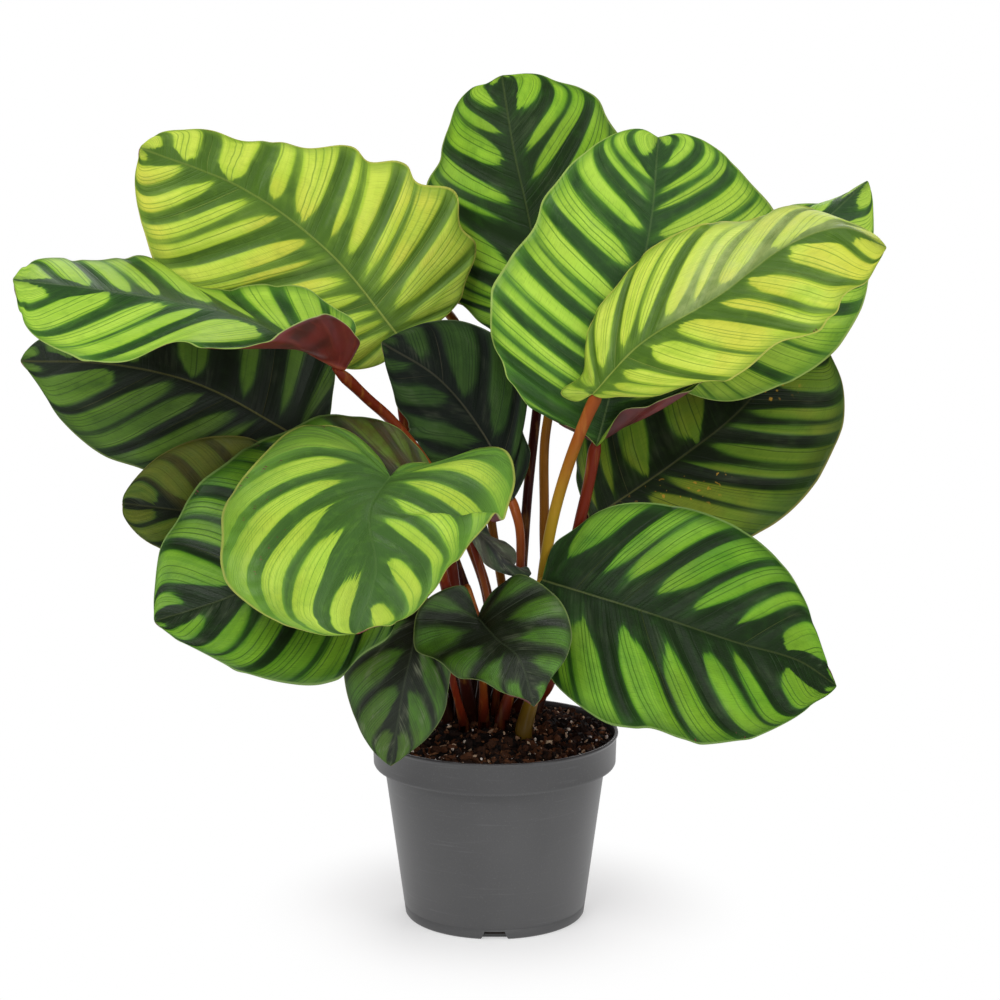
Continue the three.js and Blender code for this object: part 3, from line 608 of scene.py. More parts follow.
            (53.5, 68, 0.4), (60, 79, 3.33), (67.5, 86, 0.4), (74.5, 92, 2.85), (87, 110, 1.9)],
        greens="lush", lobe_start=0.1, gloss=0.08, scallop=(0.07, 0.07), quilt=1.0,
        stalk_tones=("maroon", "maroon", "maroon"),
    ),
    "centre_right": dict(
        rib=[(56, -18, 273), (72, -6, 333), (86, 14, 391), (91, 36, 438)],
        left=[(49, -20, 280), (33, -22, 288), (17, -22, 297), (8, -20, 310), (1, -17, 325),
            (-4, -12, 345), (2, -5, 367), (18, 5, 387), (28, 13, 408), (43, 21, 425),
            (67, 29, 441), (81, 33, 443)],
        right=[(61, -24, 280), (66, -28, 290), (70, -30, 295), (81, -30, 297), (101, -20, 302),
            (136, 6, 320), (156, 22, 349), (162, 32, 376), (155, 38, 398), (143, 40, 414),
            (125, 42, 430), (105, 38, 440)],
        stalk=[(14, -3, 100), (29, -8, 134), (38, -11, 179), (46, -13, 224), (52, -15, 252)],
        wave=(2.5, 5), girth=3.2,
        left_lines=[(13, 15, 4.75), (24, 25, 4.75), (31.5, 32.5, 2.85), (37, 38.5, 0.6), (43, 45, 2.09),
            (47.5, 49, 0.4), (52.2, 55.5, 2.09), (56, 60, 0.4), (61, 68, 2.66),
            (68.5, 77.5, 1.71), (74.5, 86, 2.38), (80, 90, 0.4), (84, 96, 1.9)],
        right_lines=[(13, 15, 4.75), (24, 25, 4.75), (34, 35, 2.85), (39.5, 41.5, 0.5), (45, 47.5, 2.09),
            (49.5, 52, 0.4), (54.5, 58, 2.09), (59, 63, 0.4), (63.5, 69, 2.38),
            (68.5, 75.5, 0.6), (73.5, 83.5, 2.38), (77.5, 88, 0.4), (81, 93, 2.38),
            (88, 102, 1.9)],
        greens="bright", taper=0.28, scallop=(0.02, 0.02), quilt=2.1,
        stalk_tones=("red", "red", "red"),
    ),
    "right": dict(
        rib=[(53, -38, 305), (78, -44, 333), (119, -52, 360), (156, -57, 388), (184, -60, 397),
            (206, -63, 387)],
        left=[(45, -32, 300), (36, -28, 304), (42, -25, 310), (48, -23, 315), (50, -19, 329),
            (55, -17, 345), (66, -15, 362), (79, -16, 377), (97, -18, 389), (118, -23, 397),
            (135, -28, 398), (159, -37, 406), (173, -43, 404), (190, -51, 399), (202, -58, 392)],
        right=[(58, -44, 304), (66, -51, 305), (83, -64, 307), (99, -74, 314), (123, -87, 321),
            (147, -94, 338), (163, -94, 344), (175, -91, 354), (181, -87, 363), (193, -81, 370),
            (200, -73, 379)],
        stalk=[(16, -28, 94), (23, -22, 142), (26, -19, 192), (32, -24, 233), (43, -31, 273)],
        wave=(1.5, 4), girth=3.2,
        left_lines=[(10, 13, 1.42), (21, 27, 2.85), (33.5, 42, 2.85), (41, 53, 0.4), (45.5, 60, 2.66),
            (53, 67, 0.4), (57, 71.5, 1.52), (65, 84, 2.09), (80, 95, 1.9)],
        right_lines=[(10, 12, 0.4), (22, 23, 0.6), (30, 30, 0.4), (39, 42, 2.47), (49, 54, 0.6),
            (55.5, 69, 2.85), (62, 76, 1), (67, 87, 2.09), (80, 100, 1.9)],
        # the pale stain on the left half towards the tip is painted sheen
        greens="pale", stains=[(0, 0.6, 1.1, "#c3cd86", 0.4)], lobe_start=0.0, taper=0.24,
        scallop=(0.03, 0.03), quilt=2.2, stalk_tones=("olive", "olive", "orange"),
    ),
    "far_right": dict(
        rib=[(88, 33, 322), (125, 44, 346), (170, 52, 376), (211, 58, 412)],
        left=[(82, 45, 340), (94, 57, 366), (117, 67, 382), (143, 73, 391), (169, 73, 396),
            (184, 71, 398), (197, 67, 403)],
        right=[(100, 25, 300), (132, 22, 292), (163, 23, 301), (190, 28, 318), (197, 30, 326),
            (207, 35, 344), (212, 43, 368), (214, 49, 388), (213, 55, 405)],
        stalk=[(12, 10, 99), (27, 15, 167), (28, 19, 224), (29, 23, 275), (38, 28, 305),
            (63, 32, 320)],
        wave=(2.5, 4), girth=2.7,
        greens="bright", quilt=1.4, stalk_tones=("brown", "brown", "olive"),
    ),
    "dark_right": dict(
        rib=[(53, -5, 229), (100, 16, 257), (139, 32, 285), (166, 44, 316), (183, 48, 323)],
        left=[(49, 7, 239), (46, 17, 250), (48, 31, 268), (59, 47, 288), (81, 63, 308),
            (110, 72, 321), (138, 72, 328), (163, 64, 329), (177, 55, 324)],
        right=[(61, -9, 224), (81, -12, 219), (114, -11, 214), (142, -5, 219), (162, 2, 230),
            (179, 11, 245), (191, 21, 265), (197, 28, 279), (197, 36, 298), (191, 42, 314),
            (187, 46, 321)],
        stalk=[(23, 1, 97), (37, 3, 158), (47, 0, 205)],
        wave=(2, 4), girth=2.7,
        left_lines=[(15, 16, 4.75), (30, 31, 2.85), (40, 40, 1.9), (53, 53, 2.85), (66, 68, 1.9),
            (78, 83, 1.9), (88, 100, 1.9)],
        right_lines=[(12, 15, 3.8), (25, 28, 2.85), (36, 40, 2.38), (47.5, 50.5, 0.6), (51.5, 62, 2.85),
            (57.5, 67, 0.4), (63.5, 74.5, 2.66), (67, 80, 0.4), (72, 86, 2.85), (82, 100, 1.9)],
        greens="olive", fade=(0.7, 0.75), lobe_start=0.02,
        base_start=((0.06, 0.5), (0.15, 0.8)), soft=1.5, specks=[(0.3, 0.9, "#b0882c")],
        quilt=1.6, stalk_tones=("maroon", "red", "red"),
    ),
    "bottom_right": dict(
        rib=[(26, -32, 201), (78, -52, 189), (129, -68, 175), (164, -76, 166), (183, -82, 154)],
        left=[(29, -27, 211), (34, -24, 221), (46, -22, 229), (58, -22, 237), (74, -23, 242),
            (98, -27, 242), (124, -35, 235), (141, -42, 227), (157, -52, 213), (167, -60, 197),
            (172, -67, 184), (179, -77, 163)],
        right=[(20, -42, 192), (22, -61, 169), (32, -73, 154), (45, -83, 143), (61, -93, 136),
            (83, -101, 136), (98, -106, 131), (111, -108, 129), (125, -108, 131), (141, -106, 134),
            (159, -100, 141), (168, -95, 147), (178, -88, 151)],
        stalk=[(4, -21, 98), (14, -28, 155), (22, -32, 190)],
        wave=(1.5, 4), girth=2.8,
        left_lines=[(10, 12, 10.8), (35.5, 39, 3.15), (43, 47.5, 0.4), (48.5, 57.5, 2.88),
            (56, 69, 1.17), (63, 76.5, 1.62), (71.5, 84, 2.7), (86, 100, 1.8)],
        right_lines=[(10, 12, 6.3), (23, 28, 4.5), (33, 36, 0.4), (44, 50, 3.42), (53, 64.5, 1.08),
            (59, 75.5, 2.88), (67, 83, 0.4), (72, 90, 2.88), (86, 105, 1.8)],
        greens="mid", gloss=0.08, lobe_start=0.1, taper=0.36, quilt=1.9,
        stalk_tones=("red", "olive", "olive"),
    ),
    "heart": dict(
        rib=[(-9, -62, 187), (2, -85, 180), (13, -100, 174), (21, -112, 151)],
        left=[(-6, -59, 193), (0, -58, 202), (13, -61, 210), (23, -65, 208), (32, -71, 202),
            (39, -79, 193), (41, -87, 182), (38, -95, 173), (30, -103, 164), (25, -109, 155)],
        right=[(-12, -62, 192), (-16, -64, 204), (-24, -67, 205), (-33, -70, 202), (-40, -75, 195),
            (-43, -81, 185), (-42, -87, 176), (-30, -95, 171), (-19, -102, 164), (-8, -106, 164),
            (4, -110, 158), (16, -112, 155)],
        stalk=[(-6, -21, 97), (-7, -40, 152), (-13, -50, 188), (-15, -55, 202)],
        wave=(1, 4), girth=2.2,
        left_lines=[(15, 20, 5.4), (35, 40, 4.5), (50, 60, 2.7), (64, 75, 2.7), (75, 90, 2.7),
            (88, 105, 1.8)],
        right_lines=[(15, 20, 5.4), (35, 38, 4.5), (47, 60, 2.7), (57, 78, 2.7), (66, 98, 2.7),
            (80, 130, 1.8)],
        # the grey streaks on this leaf are painted sheen
        greens="satin", gloss=0.28, soft=3.5, dust=0.3, lobe_start=0.16,
        stalk_tones=("red", "brown", "orange"),
    ),
    "small_front": dict(
        rib=[(-40, -62, 194), (-44, -74, 173), (-48, -80, 156), (-56, -76, 108)],
        left=[(-30, -63, 190), (-23, -67, 173), (-24, -71, 155), (-26, -74, 141), (-31, -75, 131),
            (-38, -77, 122), (-49, -77, 113)],
        right=[(-54, -61, 195), (-67, -62, 186), (-77, -64, 169), (-81, -66, 158), (-80, -68, 147),
            (-77, -70, 137), (-70, -73, 123), (-63, -75, 113)],
        stalk=[(-17, -22, 95), (-23, -40, 146), (-31, -54, 185)],
        wave=(1, 3), girth=2,
        left_lines=[(20, 30, 3.6), (38, 52, 2.7), (54, 72, 2.7), (70, 92, 1.8), (85, 120, 1.8)],
        right_lines=[(20, 30, 3.6), (40, 55, 2.7), (55, 75, 2.25), (70, 95, 1.8), (85, 120, 1.8)],
        # the grey streaks on this leaf are painted sheen
        greens="satin", gloss=0.32, soft=2.5, dust=0.9, stalk_tones=("red", "red", "red"),
    ),
    "curled": dict(
        rib=[(-13, -36, 233), (-2, -42, 223), (7, -44, 214), (20, -38, 206)],
        left=[(-6, -32, 234), (0, -30, 224), (6, -30, 221), (11, -31, 217), (12, -32, 212),
            (11, -33, 208), (18, -36, 209)],
        right=[(-18, -39, 230), (-12, -43, 225), (-8, -45, 218), (-6, -46, 214), (1, -46, 209),
            (10, -44, 206), (18, -40, 204)],
        stalk=[(0, -11, 100), (2, -20, 153), (-5, -30, 195), (-13, -36, 227)],
        wave=(1, 2), girth=1.7,
        left_lines=[(20, 30, 4.5), (40, 55, 4.5), (60, 80, 3.6)],
        right_lines=[(20, 30, 4.5), (40, 55, 4.5), (60, 80, 3.6)],
        # the grey streaks and both grey stains on this leaf are painted sheen
        greens="night", gloss=0.5, soft=3.0, dust=1.0,
        stains=[(1, 0.2, 0.6, "#787a66", 0.5), (0, 0.4, 0.8, "#6c6e5c", 0.4)],
        stalk_tones=("red", "orange", "red"),
    ),
    "back_left": dict(
        rib=[(-33, 84, 343), (-56, 114, 359), (-81, 145, 353), (-98, 167, 332)],
        left=[(-54, 62, 344), (-77, 60, 354), (-101, 71, 363), (-116, 97, 363), (-116, 128, 354),
            (-107, 153, 341)],
        right=[(-6, 99, 331), (1, 121, 333), (-4, 147, 337), (-25, 168, 339), (-56, 175, 338),
            (-82, 173, 334)],
        stalk=[(-7, 20, 98), (6, 34, 151), (-2, 46, 219), (-10, 58, 287), (-22, 72, 328)],
        wave=(3, 4), girth=2.6,
        greens="mid", stalk_tones=("brown", "brown", "brown"),
    ),
    "back_right": dict(
        rib=[(86, 78, 238), (114, 107, 252), (143, 137, 244), (163, 158, 222)],
        left=[(59, 97, 227), (53, 122, 228), (62, 149, 231), (85, 168, 231), (119, 172, 229),
            (146, 166, 225)],
        right=[(104, 54, 238), (127, 50, 246), (153, 60, 253), (172, 85, 252), (176, 117, 243),
            (170, 142, 231)],
        stalk=[(22, 12, 96), (41, 30, 152), (62, 52, 200)],
        wave=(3, 4), girth=2.6,
        greens="mid", stalk_tones=("maroon", "red", "red"),
    ),
    "back_centre": dict(
        rib=[(65, 104, 316), (69, 139, 336), (73, 178, 335), (76, 208, 317)],
        left=[(37, 103, 313), (19, 116, 322), (11, 139, 332), (17, 167, 337), (38, 191, 332),
            (60, 203, 324)],
        right=[(96, 97, 307), (118, 105, 311), (132, 126, 320), (132, 155, 325), (114, 183, 324),
            (93, 200, 320)],
        stalk=[(7, 21, 97), (29, 34, 151), (55, 58, 216), (64, 84, 276)],
        wave=(3, 4), girth=2.6,
        greens="bright", stalk_tones=("maroon", "maroon", "red"),
    ),
    "back_low": dict(
        rib=[(-122, 88, 267), (-156, 109, 282), (-190, 130, 276), (-215, 146, 255)],
        left=[(-135, 59, 258), (-156, 49, 260), (-184, 52, 264), (-207, 71, 265), (-218, 102, 263),
            (-219, 129, 258)],
        right=[(-102, 112, 266), (-102, 136, 274), (-117, 159, 282), (-144, 172, 282),
            (-177, 168, 274), (-201, 157, 263)],
        stalk=[(-20, 19, 96), (-32, 34, 145), (-60, 56, 205), (-96, 74, 245)],
        wave=(3, 4), girth=2.6,
        greens="mid", stalk_tones=("maroon", "red", "red"),
    ),
}
# the halves of a blade, and which way each turns from the midrib
HALVES = (("left", 1), ("right", -1))
SAME_LINES = {
    "far_right": "right",
    "back_left": "lower_left",
    "back_right": "top",
    "back_centre": "centre_right",
    "back_low": "bottom_left",
}
for name, leaf in LEAVES.items():
    for half, _ in HALVES:
        lines = LEAVES[SAME_LINES.get(name, name)][half + "_lines"]
        leaf[half + "_dark"] = [tuple(number / 100 for number in line) for line in lines]
    LEAVES[name] = PLAIN_LOOK | leaf
print("leaves:", len(LEAVES))

# %% [markdown]
# ## Leaf finish
#
# A half blade is divided by dark lines: broad ones, which are the main side veins with dark
# tissue on both sides, and thin ones that split a light field in two. Between two lines lies a
# light lobe: pointed near the midrib, bright in its middle, with a few hair-fine veins inside,
# and fading to plain green at the margin. The map "veins" has u along the margin, bent so that
# equal u follows a vein, and v out from the midrib, below zero on the left half. A colour ramp
# over u then tells how far a point is from the nearest line. Two values in mm come with the
# mesh: "from_rib", the distance from the midrib, and "mm_per_share", the length of one u.

# %% Greens
# deep and mid: the dark tissue and its paler parts. band and glow: a light lobe and its middle.
# edge: the margin's rim. rib: the midrib. sun: patches that the sun has yellowed.
GREEN_PARTS = ("deep", "mid", "band", "glow", "edge", "rib", "sun")
GREENS = {
    "pale": ("#43611c", "#6c8c28", "#9dba34", "#bfd04c", "#a9ae4c", "#8c9a44", "#c4b83e"),
    "lush": ("#1c2e13", "#2f5618", "#5f9020", "#88b42e", "#7f9648", "#586836", "#83a02c"),
    "bright": ("#234019", "#457420", "#7aa62c", "#a2c642", "#8ea650", "#5c7440", "#9cb83a"),
    "fresh": ("#3a5a26", "#608c2e", "#87b034", "#acca48", "#9aa54c", "#56763a", "#a4b23a"),
    "mid": ("#16260f", "#274c16", "#4a7c1c", "#6f9e28", "#6f8c48", "#545f32", "#6a8a22"),
    "deep": ("#131d10", "#213618", "#3c5c1e", "#587c26", "#66793f", "#6a6a38", "#4e6a20"),
    "satin": ("#151f0d", "#2a4018", "#385a1a", "#4a781f", "#66793f", "#48563a", "#50681e"),
    "olive": ("#141f0e", "#2a4513", "#4e741c", "#6f8c28", "#7d7c3c", "#5a5c34", "#7c7e22"),
    "moss": ("#0f170a", "#20330f", "#3c5818", "#586a1e", "#6c6c34", "#4e5030", "#5e5a18"),
    "night": ("#0d140e", "#162512", "#213817", "#2f4a1c", "#4f5d40", "#5a5844", "#2c4018"),
}
BURGUNDY = dict(dark="#421013", mid="#671b1c", vein="#7c3028", rib="#8a3c28", edge="#8f9a58")
# grey dust, and painted sheen on the glossy dark leaves
DUST_AND_SHEEN = "#7c8468"


# %% Where the dark lines run
THIN_LINE = 0.0095  # a line with a half width above this is a broad one
FIRST_LINE = (-0.03, -0.03, 0.01)  # foot, margin and half width of the line before them all
LAST_FOOT, LAST_MARGIN, LAST_WIDTH = 1.05, 1.6, 0.01  # and of the line after them
RAMP_REACH = 2.5  # share of the margin at the end of the colour ramp
RAMP_GAIN = 4  # the ramp's numbers are small, so they are kept times this
HAIR_CELLS = 75  # cells along a margin; each has one hair-fine vein at most


def all_lines(lines):
    """Foot, margin and half width of the lines of one half, with one more beyond each end."""
    last = (LAST_FOOT, max(LAST_MARGIN, lines[-1][1] + 0.2), LAST_WIDTH)
    return np.array([FIRST_LINE, *lines, last]).T


def vein_shares(lines, v, t):
    """Line k runs through the net of a half blade at row v_k(t) = foot + (margin - foot) *
    (0.75t + 0.25t^8): nearly straight out from the midrib, then curving forward by the margin.
    Gives, for each point of the net, the share of the margin at which its own vein ends."""
    foot, margin, _ = all_lines(lines)
    run = 0.75 * t + 0.25 * t**8
    place = foot[:, None] + (margin - foot)[:, None] * run
    return np.stack([np.interp(v, place[:, k], margin) for k in range(len(t))], 1)


def line_stops(lines, lobe_start, base, seed):
    """Stops of a ramp along the margin, from 0 to RAMP_REACH. Red is the distance to the nearest
    line, green that line's half width, blue where the lobe starts, alpha how far its tip is
    drawn in: half the gap, less beside a thin line. All are shares of the margin, times
    RAMP_GAIN, exact at each line and halfway to the next."""
    _, margin, half = all_lines(lines)
    dice = np.random.default_rng(seed)
    starts = lobe_start + base[0] * (1 - margin / base[1]).clip(0, 1)
    starts = starts + dice.uniform(0, 0.06, len(margin))
    gap = np.diff(margin) / 2
    middle = (margin[1:] + margin[:-1]) / 2
    beside = np.convolve(gap, (0.5, 0.5))
    beside[[0, -1]] *= 2
    drawn_in = beside * np.where(half > THIN_LINE, 1, 0.35)
    at_lines = zip(margin, np.zeros(len(margin)), half, starts, drawn_in)
    between = zip(middle, gap, (half[1:] + half[:-1]) / 2, starts, gap)
    stops = [
        (place / RAMP_REACH, tuple(RAMP_GAIN * float(value) for value in values))
        for place, *values in sorted([*at_lines, *between])
    ]
    return [stop for stop in stops if 0 <= stop[0] <= 1]


# %% Reading the map of a blade
def read_map(f):
    """Share of the margin along it, the way out from the midrib with its sign, and without."""
    veins = f.node("UVMap", {"uv_map": "veins"})
    along = f.node("SeparateXYZ", None, {0: veins})
    side = f.node("SeparateXYZ", None, {0: veins}, output=1)
    return along, side, side.distance_to_zero()


def read_lines(f, leaf, along, right, seed):
    """The four numbers of line_stops at the point, from the half that it lies on."""
    reads = []
    for half, (side, _) in enumerate(HALVES):
        lines = leaf[side + "_dark"]
        stops = line_stops(lines, leaf["lobe_start"], leaf["base_start"][half], seed + half)
        ramp = f.node("ValToRGB", {"stops": stops}, {0: along / RAMP_REACH})
        colors = [f.node("SeparateColor", None, {0: ramp}, output=k) for k in range(3)]
        reads.append([*colors, ramp.other(1)])
    return [(a * (1 - right) + b * right) * (1 / RAMP_GAIN) for a, b in zip(*reads)]


def read_blade(f, leaf, seed):
    """All that the finish of the upper side knows at a point: where it lies on the blade, how
    far the lines are, and what varies at random along the veins (streak), across them (weave),
    over patches (cloud, sun, mottle, fine) and from hair-fine vein to vein (luck, hair)."""
    at = SimpleNamespace()
    at.along, at.side, at.out = read_map(f)
    at.right = (at.side * 1000).ramp(-1, 1)
    at.from_rib = f.attribute("from_rib")
    at.scale = f.attribute("mm_per_share")
    at.distance, at.half_width, at.start, at.gap = read_lines(f, leaf, at.along, at.right, seed)
    at.broad = at.half_width.ramp(0.006, 0.011)
    at.streak = f.noise(f.vector(at.along * 90, at.side * 3, seed), 1.0, 3.0)
    at.cloud = f.noise(f.vector(at.along * 9, at.side * 2.5, seed + 5), 1.0)
    at.weave = f.noise(f.vector(at.along * 34, at.side * 120, seed + 9), 1.0, 2.0)
    at.sun = f.noise(f.place(), 22.0, 2.0)
    at.mottle = f.noise(f.place(), 150.0, 4.0)
    at.fine = f.noise(f.place(), 900.0, 3.0)
    hair_count = at.along * HAIR_CELLS + (at.cloud - 0.5) * 0.8
    hair_cell = hair_count.floor()
    hair = 1 - (hair_count - hair_cell - 0.5).distance_to_zero().ramp(0.04, 0.17)
    at.luck = f.dice(hair_cell, seed, 9)
    at.hair = hair * f.dice(hair_cell, seed, 3).ramp(0.15, 0.75)
    return at


# %% Light lobes and dark lines
def stretch(along, first, last, blend):
    """1 between two places along the margin, 0 beyond them."""
    return along.ramp(first, first + blend) * (1 - along.ramp(last, last + blend))


def lobe_edge(at, taper):
    """How far inside its light lobe the point lies, in mm. Beside a line the lobe starts where
    the line's width ends, thin lines widen by the midrib, and towards the lobe's tip both of
    its sides are drawn in until they meet. Luck moves the tip a little."""
    nearer = 1 - at.out
    spread = at.half_width * (0.85 + 0.3 * nearer)
    spread = spread + (1 - at.broad) * nearer * nearer * nearer * 0.008
    to_tip = at.start + taper - at.out + (at.luck - 0.5) * 0.16 * taper
    closing = (to_tip / taper).at_least(0.0)
    drawn_in = (at.gap - spread).at_least(0.0) * closing * closing.at_most(1.0)
    return (at.distance - spread - drawn_in) * at.scale + (at.streak - 0.5) * 1.2


def bands(f, at, tones, edge, lobe):
    """Dark tissue, paler next to a lobe, and light lobes, brighter in their middle, with
    patches yellowed by the sun and hair-fine veins."""
    near = edge.ramp(-1.6, -0.1) * 0.45
    patches = edge.ramp(-5.0, -0.6) * at.cloud.ramp(0.4, 0.62) * 0.45
    paler = near + patches + at.streak.ramp(0.45, 0.8) * 0.22
    dark = f.mix(paler, tones["deep"], tones["mid"])
    core = edge.ramp(0.2, 2.6) * at.cloud.ramp(0.2, 0.55)
    pale = f.mix(core * (at.luck * 0.6 + 0.5), tones["band"], tones["glow"])
    pale = f.mix(at.sun.ramp(0.42, 0.66) * 0.5, pale, tones["sun"])
    pale = f.mix(at.hair * 0.7, pale, tones["mid"])
    return f.mix(lobe, dark, pale)


# %% Fading, stains and painted sheen, and specks
def faded(f, at, leaf, tones, color):
    """The colour fades to plain green at the margin, in small mottles and at the dull base.
    Stains and painted sheen lie under the dull base."""
    fade_from, fade = leaf["fade"]
    color = f.mix(at.out.ramp(fade_from, 1.0) * fade, color, tones["mid"])
    color = f.mix(at.mottle.ramp(0.5, 0.75) * 0.22, color, tones["mid"])
    for half, first, last, patch_tint, share in leaf["stains"]:
        spot = stretch(at.along, first, last, 0.08) * (at.right if half > 0 else 1 - at.right)
        spot = spot * (at.mottle.ramp(0.25, 0.7) * 0.5 + 0.5)
        # stains, and on some leaves painted sheen
        color = f.mix(spot * share, color, paint(patch_tint))
    dull_from, dull_to, dull = leaf["dull"]
    base = 1 - at.along.ramp(dull_from, dull_to)
    plain = f.mix(at.streak.ramp(0.3, 0.7), tones["mid"], tones["deep"])
    return f.mix(base * dull, color, plain)


def specked(f, at, leaf, color):
    """Specks on the right half, by the midrib, in the patches that the sun has yellowed."""
    for first, last, flecks in leaf["specks"]:
        fleck = f.noise(f.place(), 330.0, 1.0).ramp(0.66, 0.71) * at.sun.ramp(0.5, 0.57)
        reach = at.right * (1 - at.out.ramp(0.35, 0.6)) * stretch(at.along, first, last, 0.1)
        color = f.mix(fleck * reach * 0.9, color, paint(flecks))
    return color


# %% Midrib, rim, dust and painted sheen
def rimmed(f, at, leaf, tones, color):
    """The midrib in its dark seam, the margin's rim, the weave of cross veins, and grey dust and painted
    sheen.
    """
    color = f.mix((1 - at.from_rib.ramp(0.8, 5.0)) * 0.45, color, tones["deep"])
    midrib = (1 - at.from_rib.ramp(0.3, 0.8)) * (0.8 - at.along.ramp(0.2, 0.85) * 0.55)
    color = f.mix(midrib, color, tones["rib"])
    color = f.mix(at.out.ramp(0.978, 0.992), color, tones["edge"])
    color = f.mix(at.weave.ramp(0.5, 0.75) * 0.24, color, tones["deep"])
    # grey streaks: dust, and painted sheen where a leaf has much of it
    dust = at.cloud.ramp(0.5, 0.75) * at.streak.ramp(0.35, 0.7)
    return f.mix(dust * leaf["dust"], color, paint(DUST_AND_SHEEN))


# %% Upper side of a blade
def leaf_finish(name, leaf, seed):
    """The bands, the main veins in the dark between them, and what lies over both. All veins
    are sunk and the lobes raised, and three of the noises roughen the surface."""
    tones = dict(zip(GREEN_PARTS, map(paint, GREENS[leaf["greens"]])))
    f = Finish(name)
    at = read_blade(f, leaf, seed)
    edge = lobe_edge(at, leaf["taper"])
    lobe = edge.ramp(-0.55 * leaf["soft"], 0.75 * leaf["soft"])
    color = bands(f, at, tones, edge, lobe)
    vein = (1 - (at.distance * at.scale).ramp(0.1, 0.45)) * at.broad
    color = f.mix(vein * 0.4 * (1 - at.out.ramp(0.4, 0.95)), color, tones["rib"])
    color = faded(f, at, leaf, tones, color)
    color = specked(f, at, leaf, color)
    color = rimmed(f, at, leaf, tones, color)
    height = lobe * 0.15 - at.hair * 0.3 - vein * 0.7
    height = height + at.fine * 0.1 + at.streak * 0.35 + at.weave * 0.35
    roughness = 0.3 + at.cloud * 0.16
    return f.shade(color, roughness, height, 0.001, 0.5, Specular_IOR_Level=leaf["gloss"])


# %% Underside of a blade
def underside_finish(name, seed):
    """Burgundy, paler along the veins, redder by the midrib, with a green rim."""
    f = Finish(name)
    tones = {key: paint(code) for key, code in BURGUNDY.items()}
    along, side, out = read_map(f)
    from_rib = f.attribute("from_rib")
    streak = f.noise(f.vector(along * 40, side * 2, seed), 1.0)
    blotch = f.noise(f.place(), 60.0)
    color = f.mix(blotch.ramp(0.3, 0.7), tones["dark"], tones["mid"])
    color = f.mix(streak.ramp(0.55, 0.75) * 0.5, color, tones["vein"])
    color = f.mix((1 - from_rib.ramp(0.8, 3.0)) * 0.8, color, tones["rib"])
    color = f.mix(out.ramp(0.98, 0.995), color, tones["edge"])
    return f.shade(color, 0.42 + blotch * 0.1, streak, 0.0006, 0.35)


# %% [markdown]
# ## Blade surface
#
# A blade is two fans of veins, one on each side of the midrib. Each vein starts on the midrib
# and ends on the margin; its points are the midrib's point plus a share of the way across plus
# a share of the way forward, so the vein bends towards the tip as a real one does. The margins
# wave. The upper and lower faces lie a fraction of a millimetre to either side, and below the
# midrib stands a rounded keel that runs out of the stalk.

# %% Blade shape values
VEIN_SWEEP = 1.9
VEIN_BEND = 0.4
WAVE_REACH = 2.2
BLADE_ROWS = 150
BLADE_COLUMNS = 22
COLUMN_CROWDING = 1.35  # above 1, the columns lie closer near the midrib
HALF_THICKNESS = 0.3
EDGE_THINNING = 0.6  # share of the thickness that is gone at the margin
KEEL_WIDTH = 2.0
KEEL_DEPTH = 1.9
KEEL_START = 0.17  # share of the margin over which the keel grows to full size
GROOVE_DEPTH = 0.35
GROOVE_WIDTH = 1.2
PLEAT_VALLEY = 4.5  # mm to each side of a vein
LEAST_STEP = 0.002  # smallest share of the margin that a row is taken to move on by


def puckers(leaf, key, v):
    """How far the margin is drawn in between two main veins, from 0 at a vein to 1 halfway."""
    lines = [line for line in leaf[key + "_dark"] if line[2] > THIN_LINE and line[1] < 1]
    places = np.array([0, *(line[1] for line in lines), 1])
    phase = np.interp(v, places, np.arange(len(places)))
    return ((1 - np.cos(2 * np.pi * phase)) / 2 * np.sin(np.pi * v).clip(0) ** 0.5)[:, None]


def nicks(leaf, key, v):
    """How deep the margin is torn in at v: a narrow bell at each nick (half, place, width,
    depth)."""
    cut = np.zeros(len(v))
    for half, place, width, depth in leaf["nicks"]:
        if half == key:
            cut += depth * np.exp(-(((v - place) / width) ** 2))
    return cut[:, None]


def blade_net(leaf, v, t):
    """The middle surface of a blade in mm: rows v along the margins, columns t from -1 (left
    margin) through 0 (midrib) to 1 (right margin). With M the midrib's point for row v, B the
    margin's, and a the midrib's direction, a point is M + t*(B-M across a) + (0.6t + 0.4tt)*
    (B-M along a) + the wave."""
    evened = (1 - np.cos(np.pi * v)) / 2
    start = 0.1 * v + 0.9 * evened**VEIN_SWEEP
    foot, ahead = smooth_curve(leaf["rib"], start)
    height, number = leaf["wave"]
    halves = []
    for side, (key, turn) in enumerate(HALVES):
        edge = [leaf["rib"][0], *leaf[key], leaf["rib"][-1]]
        rim = smooth_curve(edge, v)[0]
        outward = smooth_curve(edge, [0.5])[0] - smooth_curve(leaf["rib"], [0.5])[0]
        forward = np.sum((rim - foot) * ahead, 1, keepdims=True) * ahead
        drawn = leaf["scallop"][side] * puckers(leaf, key, v) + nicks(leaf, key, v)
        across = (rim - foot - forward) * (1 - drawn)
        up = unit(np.cross(ahead, outward) * turn)
        lift = height * np.sqrt(np.sin(np.pi * v)).clip(0) * np.sin(
            2 * np.pi * (number * v + 0.2 * turn)
        )
        share = t[None, :, None]
        bent = (1 - VEIN_BEND) * share + VEIN_BEND * share**2
        halves.append(
            foot[:, None]
            + across[:, None] * share
            + forward[:, None] * bent
            + (up * lift[:, None])[:, None] * share**WAVE_REACH
        )
    left, right = halves
    return np.concatenate([left[:, :0:-1], right], axis=1), start


def net_normals(net):
    """Unit normals of the net: the cross product of its differences both ways."""
    across = np.gradient(net, axis=1)
    along = np.gradient(net, axis=0)
    normals = unit(np.cross(across, along))
    middle = net.shape[1] // 2
    normals[0] = normals[1, middle]
    normals[-1] = normals[-2, middle]
    return normals


